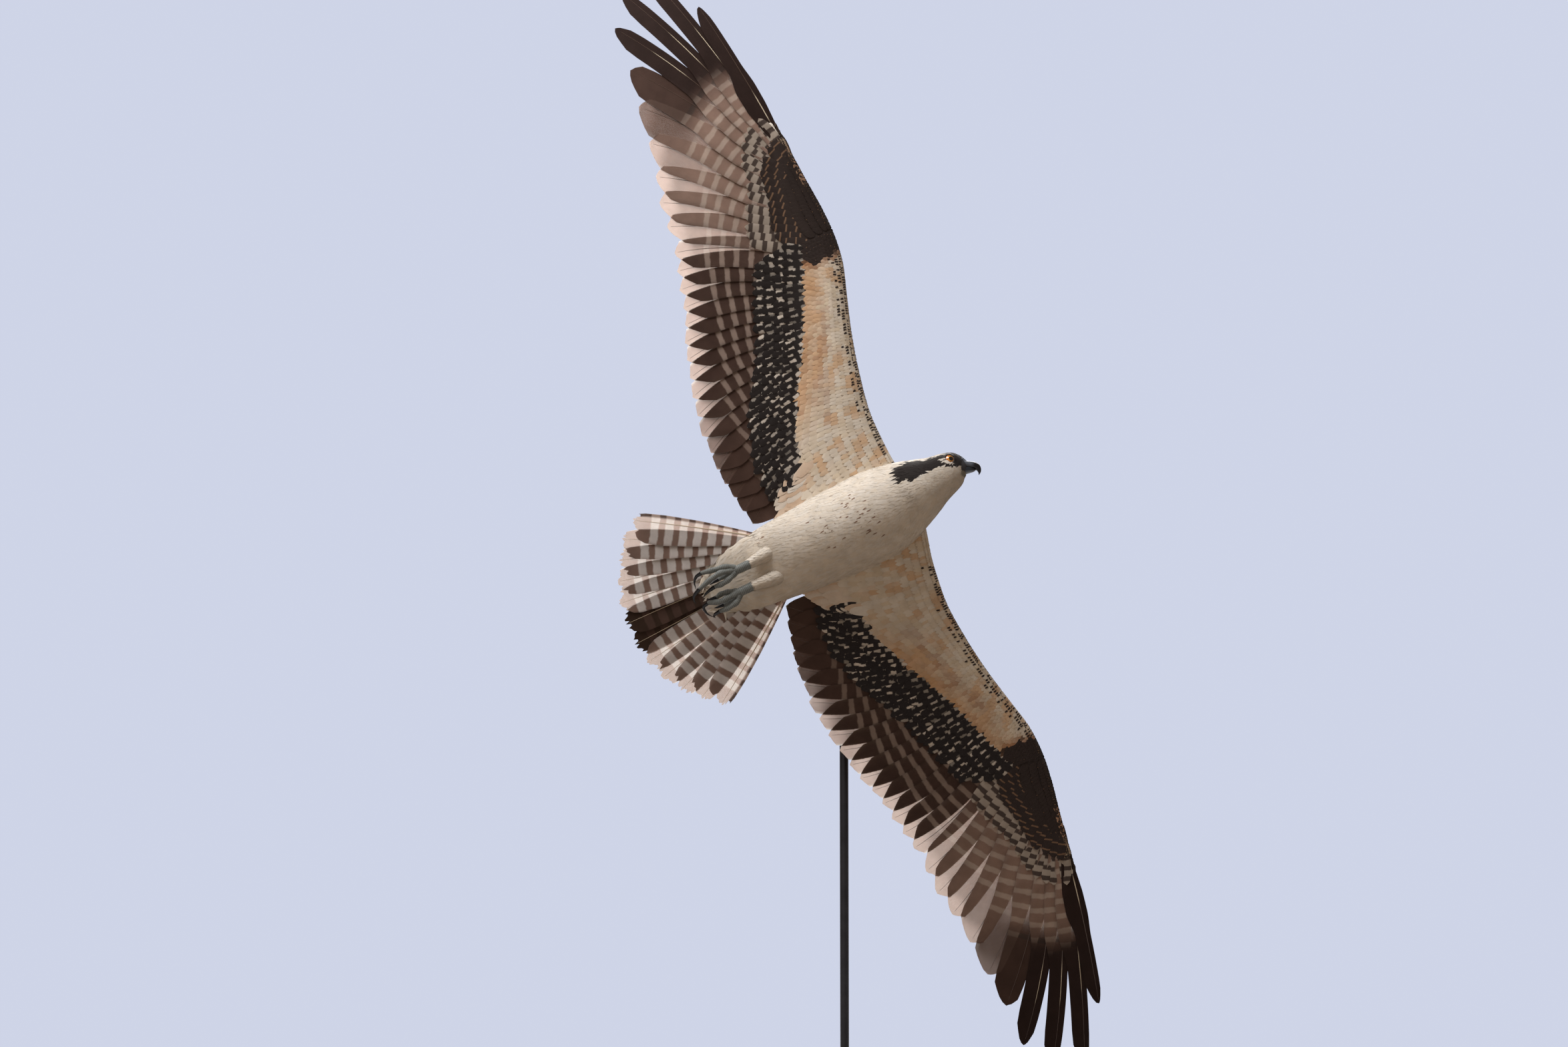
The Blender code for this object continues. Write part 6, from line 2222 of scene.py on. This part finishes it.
@dataclass(frozen=True)
class Leg:
    """One leg in the bird's frame: feathered shank, bare shank end with toes, and claws.

    A row of the shank or of the bare end holds its centre and its radius. The claws' paths
    go on from their toes.
    """

    side: Side
    shanks: tuple = (
        ((-84, 12, -4, 13), (-118, 9.5, -20, 11), (-152, 6.5, -35, 7.2)),
        ((-80, -25, -4, 13), (-114, -24, -20, 11), (-142, -22.5, -35, 7.2)),
    )
    tarsi: tuple = (
        ((-149, 6.5, -35.6, 6.4), (-162, 6.3, -37.5, 6.2), (-171, 6, -38, 6.0)),
        ((-139, -22.5, -35.6, 6.4), (-152, -22.6, -37.5, 6.2), (-161, -23, -38, 6.0)),
    )
    digits: tuple = ("inner", "middle", "outer", "hind")
    toes: tuple = ((
        ((-170, 4, -37), (-180, 0, -37), (-190, -2.5, -36), (-200, -1, -34)),
        ((-171, 6, -39), (-186, 6, -43), (-198, 5.5, -43), (-214, 0, -38)),
        ((-169, 9, -38), (-176, 16, -41), (-190, 18.5, -42), (-204, 17.5, -38)),
        ((-166, 8, -35), (-174, 11, -29), (-184, 12, -26), (-196, 12, -25)),
    ), (
        ((-161, -21, -39), (-172, -16.5, -44), (-183, -14.5, -46), (-196, -15.5, -44)),
        ((-162, -24, -39), (-177, -28.5, -46), (-192, -27.5, -49), (-216, -21.3, -43)),
        ((-159, -26, -38), (-168, -32.5, -42), (-186, -36.6, -43), (-204, -40.3, -38)),
        ((-157, -24, -34), (-166, -24, -28), (-176, -23, -25), (-188, -22, -25)),
    ))
    claws: tuple = ((
        ((-207, -2.5, -32.5), (-213.5, -4, -30)),
        ((-220.5, 3, -36), (-220, 13, -34), (-214.5, 21, -33)),
        ((-210, 18.5, -35), (-213.5, 21, -29), (-212.5, 23.5, -22)),
        ((-203, 11.5, -26), (-208.5, 10.5, -30)),
    ), (
        ((-204, -13.8, -43.5), (-211, -11.5, -42), (-215.5, -8.5, -40)),
        ((-224, -17.4, -41), (-227.8, -11.5, -39.5), (-227.6, -5.1, -39)),
        ((-211.5, -38.5, -34), (-217.2, -32.6, -31), (-219.4, -22.5, -30.5)),
        ((-195, -21.5, -26.5), (-200.5, -20.5, -31)),
    ))
    toe_grid: tuple = (44, 20)
    claw_grid: tuple = (26, 14)

    def own(self, table: tuple) -> tuple:
        """This side's entry of a table that holds the left one and then the right one."""
        return table[0 if self.side is Side.LEFT else 1]

    def shank(self) -> Array:
        """Centres and radii of the feathered part."""
        return np.array(self.own(self.shanks)) * MM

    def foot(self, finish: Finishes) -> Piece:
        """Bare shank end and toes, swelling at the pads, as tubes of equal make."""
        count, around = self.toe_grid
        rows, share = evenly(np.array(self.own(self.tarsi)) * MM, count), np.linspace(0, 1, count)
        radii = (4.6 - 1.3 * share) * MM * (1 + 0.10 * np.sin(share * 6 * math.pi))
        radii = radii * np.clip(np.sqrt((1.02 - share) / 0.08), 0.3, 1)
        lines = [(rows[:, :3], rows[:, 3])]
        lines += [(evenly(np.array(toe) * MM, count), radii) for toe in self.own(self.toes)]
        rings = np.array([tube_points(line, radius, around) for line, radius in lines])
        faces = many_tubes(len(lines), count, around)
        obj = Meshwork(f"toes_{self.side.label}", carry(rings, POSE.bird()), faces).build(finish.scales)
        runs = [np.cumsum(np.linalg.norm(np.gradient(line, axis=0), axis=1)) for line, _ in lines]
        set_values(obj, "run", np.repeat(np.array(runs), around))
        return placed(obj, "feet", f"foot_{self.side.label}")

    def claw_set(self, finish: Finishes) -> Piece:
        """The four claws, tapering as one less the share raised to 1.3."""
        count, around = self.claw_grid
        radii = 2.7 * MM * (1 - np.linspace(0, 1, count) ** 1.3) + 0.18 * MM
        rings = []
        for toe, claw in zip(self.own(self.toes), self.own(self.claws)):
            toe = np.array(toe) * MM
            start = toe[-1] - unit(toe[-1] - toe[-2]) * 1.5 * MM
            line = evenly(np.vstack([start, np.array(claw) * MM]), count)
            rings.append(tube_points(line, radii, around))
        points, faces = carry(np.array(rings), POSE.bird()), many_tubes(len(rings), count, around)
        obj = Meshwork(f"talons_{self.side.label}", points, faces).build(finish.claw)
        set_values(obj, "ground", colour(26, 25, 27))
        return placed(obj, "claw", *(f"claw_{self.side.label}_{digit}" for digit in self.digits))

    def trousers(self, finish: Finishes) -> Piece:
        """Short white feathers of the shank, lying towards the foot."""
        rows = evenly(self.shank(), 40)[::-1]
        rings = tube_points(rows[:, :3], rows[:, 3] - 0.8 * MM, 40)
        surface = GridSurface(carry(rings, POSE.bird()))
        u, v = surface.scatter(lambda row: 3.6 * MM, lambda row: 3.8 * MM, (5, 38),
                               60 + self.side.value)
        random = draws(61)
        ground = blend(Tones.WHITE, Tones.CREAM, random.uniform(0, 0.3, len(u)))
        length = random.uniform(8, 10, len(u)) + 5 * smooth_step(8, 25, u)
        plumes = Plumes.make(u, v, length=length * MM, width=5.0 * MM,
                             turn=random.normal(0, 0.12, len(u)), ground=ground,
                             low=-0.6 * MM, high=0.5 * MM)
        vane = Vane(stations=6, across=4, ragged=0.25, recess=0.35, crown=0.0, thickness=0.18 * MM)
        obj = lay_feathers(f"coat_leg_{self.side.label}", surface, plumes, vane, finish.contour, 62)
        return placed(obj, "white_plumage", f"leg_{self.side.label}")

    def build(self, finish: Finishes) -> None:
        """Makes the whole leg."""
        self.trousers(finish)
        self.foot(finish)
        self.claw_set(finish)


@dataclass(frozen=True)
class Skin:
    """One closed skin under all the feathers, so that no seam shows between them."""

    trunk: Trunk
    voxel: float = 2.4 * MM
    depth: float = 1.6 * MM
    wing_span: tuple = (30, 560)
    wing_grid: tuple = (90, 24)
    wing_depth: float = 0.9 * MM
    shank_grid: tuple = (30, 32)

    def build(self, wings: Sequence[Wing], legs: Sequence[Leg], finish: Finishes) -> Piece:
        """Joins the closed forms of trunk, wings and shanks, and remeshes them as one.

        Args:
            wings: Both wings.
            legs: Both legs.
            finish: The materials.

        Returns:
            The skin.
        """
        surface, _, _ = self.trunk.sleeve()
        inner = surface.points - surface.normal * self.depth
        groups = [(inner, tube_faces(*inner.shape[:2]))]
        spans, steps = self.wing_grid
        for wing in wings:
            aside = np.linspace(*self.wing_span, spans) * MM
            front, rear = along(wing.leading_edge, aside), along(wing.flesh_rear, aside)
            share = np.append(np.linspace(0, 1, steps), np.linspace(1, 0, steps)[1:-1]) ** 1.6
            face = np.where(np.arange(len(share)) < steps, 1, -1)
            ahead = front[:, None] + (rear - front)[:, None] * share
            out = np.broadcast_to(aside[:, None], ahead.shape)
            half = np.maximum(wing.half_depth(out, ahead) - self.wing_depth, self.wing_depth)
            height = wing.middle(out, ahead) + face * half
            groups.append((wing.to_world(axes(out, ahead, height)), tube_faces(*out.shape)))
        for leg in legs:
            rows = evenly(leg.shank(), self.shank_grid[0])
            rings = tube_points(rows[:, :3], rows[:, 3] - self.depth, self.shank_grid[1])
            groups.append((carry(rings, POSE.bird()), tube_faces(*self.shank_grid)))
        pieces = [Meshwork("form", points, faces).build(finish.skin) for points, faces in groups]
        bpy.ops.object.select_all(action="DESELECT")
        for piece in pieces:
            piece.select_set(True)
        bpy.context.view_layer.objects.active = pieces[0]
        bpy.ops.object.join()
        obj = pieces[0]
        obj.name = obj.data.name = "skin"
        remesh = obj.modifiers.new("one", "REMESH")
        remesh.mode, remesh.voxel_size, remesh.use_smooth_shade = "VOXEL", self.voxel, True
        smooth = obj.modifiers.new("even", "SMOOTH")
        smooth.factor, smooth.iterations = 0.5, 3
        graph = bpy.context.evaluated_depsgraph_get()
        mesh = bpy.data.meshes.new_from_object(obj.evaluated_get(graph))
        obj.modifiers.clear()
        obj.data = mesh
        mesh.materials.clear()
        mesh.materials.append(finish.skin)
        self.tint(obj)
        return placed(obj, "white_plumage", "torso", "neck", "head", "leg_left", "leg_right", "tail",
                      "wing_left_arm", "wing_left_hand", "wing_right_arm", "wing_right_hand")

    def tint(self, obj: Piece) -> None:
        """Colours the skin as the down over it: white below, brown above, black in the mask."""
        points = mesh_points(obj.data)
        bird = POSE.in_bird(points)
        side = POSE.in_side(points)
        wing = Wing(Side.LEFT)
        flat = wing.from_world(points)
        other = Wing(Side.RIGHT).from_world(points)
        flat = np.where((bird[:, 1] < 0)[:, None], other, flat)
        body = smooth_step(6, 10, bird[:, 2])
        raised = smooth_step(-1 * MM, 1 * MM, flat[:, 2] - wing.middle(flat[:, 0], flat[:, 1]))
        upper = np.where(flat[:, 0] > 62 * MM, raised, body)
        ground = blend(Tones.WHITE * 0.92, Tones.BROWN, upper)
        patch = inside_by(flat[:, :2], UnderCoverts.patch)
        ground = blend(ground, Tones.DARK, smooth_step(-2 * MM, 2 * MM, patch))
        far = (side[:, 0] > 60) & (flat[:, 0] < 120 * MM) & (side[:, 2] > 30)
        mask = inside_by(FaceMap().lay_flat(points), FaceMap().mask)
        ground = blend(ground, Tones.BLACK, far * smooth_step(-1 * MM, 1 * MM, mask))
        skull = POSE.in_skull(points)
        ground = blend(ground, colour(74, 76, 82), smooth_step(20, 23, skull[:, 0]) * (skull[:, 2] > -14))
        set_values(obj, "ground", ground)


@dataclass(frozen=True)
class Stand:
    """A round steel base and one rod, bent forward into the bird's back."""

    radius: float = 0.170
    thickness: float = 0.012
    bevel: float = 0.0015
    rod_radius: float = 0.006
    rod_reach: float = 0.075
    rod_bend: float = 0.040
    rod_side: float = -0.004
    back: float = 0.038
    gap: float = 0.3 * MM
    around: int = 160

    def base(self, finish: Finishes) -> Piece:
        """The base as a profile turned about the upright axis, its upper edge rounded."""
        ease = np.linspace(0, math.pi / 2, 8)
        radius = np.concatenate([[self.radius], self.radius - self.bevel * (1 - np.cos(ease))])
        height = np.concatenate([[0.0], self.thickness - self.bevel * (1 - np.sin(ease))])
        r, w = np.meshgrid(radius, full_turn(self.around), indexing="ij")
        points = axes(r * np.cos(w), r * np.sin(w), height[:, None])
        obj = Meshwork("stand_disc", points, tube_faces(*r.shape)).build(finish.steel)
        return placed(obj, "stand", "stand_base")

    def rod(self, finish: Finishes) -> Piece:
        """The rod as a tube: up, round a bend whose path is a parabola, and forward."""
        tilt = math.radians(POSE.lean)
        lean = np.array([0, -math.cos(tilt), -math.sin(tilt)])
        end = np.array(POSE.centre) * MM + [self.rod_side, 0, 0]
        corner = end - lean * (self.back + self.rod_reach)
        start = corner - np.array([0, 0, self.rod_bend * 1.2])
        finish_bend = corner + lean * self.rod_bend
        s = np.linspace(0, 1, 20)[:, None]
        foot = np.array([corner[0], corner[1], self.thickness + self.gap])
        rise = foot + (start - foot) * np.linspace(0, 1, 12)[:-1, None]
        bend = (1 - s) ** 2 * start + 2 * s * (1 - s) * corner + s**2 * finish_bend
        stop = end - lean * (self.back - 3 * MM)
        last = finish_bend + (stop - finish_bend) * np.linspace(0, 1, 5)[1:, None]
        path = np.vstack([rise, bend, last])
        points = tube_points(path, np.full(len(path), self.rod_radius), 32)
        obj = Meshwork("stand_post", points, tube_faces(len(path), 32)).build(finish.steel)
        return placed(obj, "stand", "stand_rod")


@dataclass(frozen=True)
class Studio:
    """Floor, soft lights and camera."""

    floor_radius: float = 9.0
    floor_depth: float = 0.02
    sky: tuple = (0.62, 0.66, 0.80)
    room: tuple = (0.22, 0.175, 0.14)
    field_of_view: float = 24.27
    camera_place: tuple = (-0.0874, -4.988, 0.1186)
    camera_tilt: float = 98.0
    aim: tuple = (0, 0, 0.8)
    lights: tuple = (
        ("key", (-0.84, -0.69, 2.73), 1.3, 52, (1.0, 0.99, 0.99)),
        ("rim", (0.2, 2.8, 2.9), 2.0, 185, (1.0, 0.98, 0.95)),
        ("fill", (-1.6, -3.6, 1.2), 2.6, 5, (1.0, 0.95, 0.9)),
    )

    def floor(self, finish: Finishes) -> None:
        """A pale round floor."""
        turn, z = full_turn(96), np.array([[-self.floor_depth], [0.0]])
        points = axes(self.floor_radius * np.cos(turn), self.floor_radius * np.sin(turn), z)
        obj = Meshwork("studio_floor", points, tube_faces(2, 96)).build(finish.floor)
        obj.visible_diffuse = False

    def light(self, name: str, place: Sequence[float], size: float, power: float,
              tint: Sequence[float]) -> None:
        """A square soft light that points at the bird.

        Args:
            name: Its name.
            place: Where it stands.
            size: Length of its sides.
            power: Its power in watts.
            tint: Its colour.
        """
        lamp = bpy.data.lights.new(name, "AREA")
        lamp.size, lamp.energy, lamp.color = size, power, tint
        obj = bpy.data.objects.new(name, lamp)
        bpy.context.scene.collection.objects.link(obj)
        away = unit(np.array(place) - self.aim)
        side = unit(np.cross([0, 0, 1.0], away))
        turn = np.eye(4)
        turn[:3, :3] = axes(side, np.cross(away, side), away)
        turn[:3, 3] = place
        obj.matrix_world = Matrix(turn.tolist())

    def camera(self) -> None:
        """The camera, low and looking up at the bird."""
        lens = bpy.data.cameras.new("camera")
        lens.sensor_fit = "HORIZONTAL"
        lens.angle = math.radians(self.field_of_view)
        lens.clip_end = 60
        obj = bpy.data.objects.new("camera", lens)
        bpy.context.scene.collection.objects.link(obj)
        obj.location = self.camera_place
        obj.rotation_euler = (math.radians(self.camera_tilt), 0, 0)
        bpy.context.scene.camera = obj

    def build(self, finish: Finishes) -> None:
        """Makes the whole studio."""
        world = bpy.data.worlds.new("studio")
        world.use_nodes = True
        nodes, links = world.node_tree.nodes, world.node_tree.links
        path, mix = nodes.new("ShaderNodeLightPath"), nodes.new("ShaderNodeMix")
        mix.data_type = "RGBA"
        mix.inputs[6].default_value, mix.inputs[7].default_value = (*self.room, 1), (*self.sky, 1)
        links.new(path.outputs["Is Camera Ray"], mix.inputs[0])
        links.new(mix.outputs[2], nodes["Background"].inputs["Color"])
        bpy.context.scene.world = world
        bpy.context.scene.view_settings.view_transform = "Standard"
        self.floor(finish)
        for lamp in self.lights:
            self.light(*lamp)
        self.camera()


def main() -> None:
    """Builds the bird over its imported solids, and its stand and studio."""
    logging.basicConfig(level=logging.INFO, format="%(message)s")
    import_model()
    finish = Finishes()
    trunk, face, eyes = Trunk(), FaceMap(), Eyes()
    wings = [Wing(side) for side in Side]
    legs = [Leg(side) for side in Side]
    Skin(trunk).build(wings, legs, finish)
    Coat(trunk, face, eyes).build(wings, finish)
    for wing in wings:
        blades = wing.build_flights(finish)
        UnderCoverts(wing, blades).build(finish)
        UpperCoverts(wing, blades).build(finish)
    TailFan().build(finish)
    for side in Side:
        eyes.ball(side, finish)
        eyes.lids(side, finish)
    Bill().build(finish)
    for leg in legs:
        leg.build(finish)
    stand = Stand()
    stand.base(finish)
    stand.rod(finish)
    Studio().build(finish)


if __name__ == "__main__":
    main()
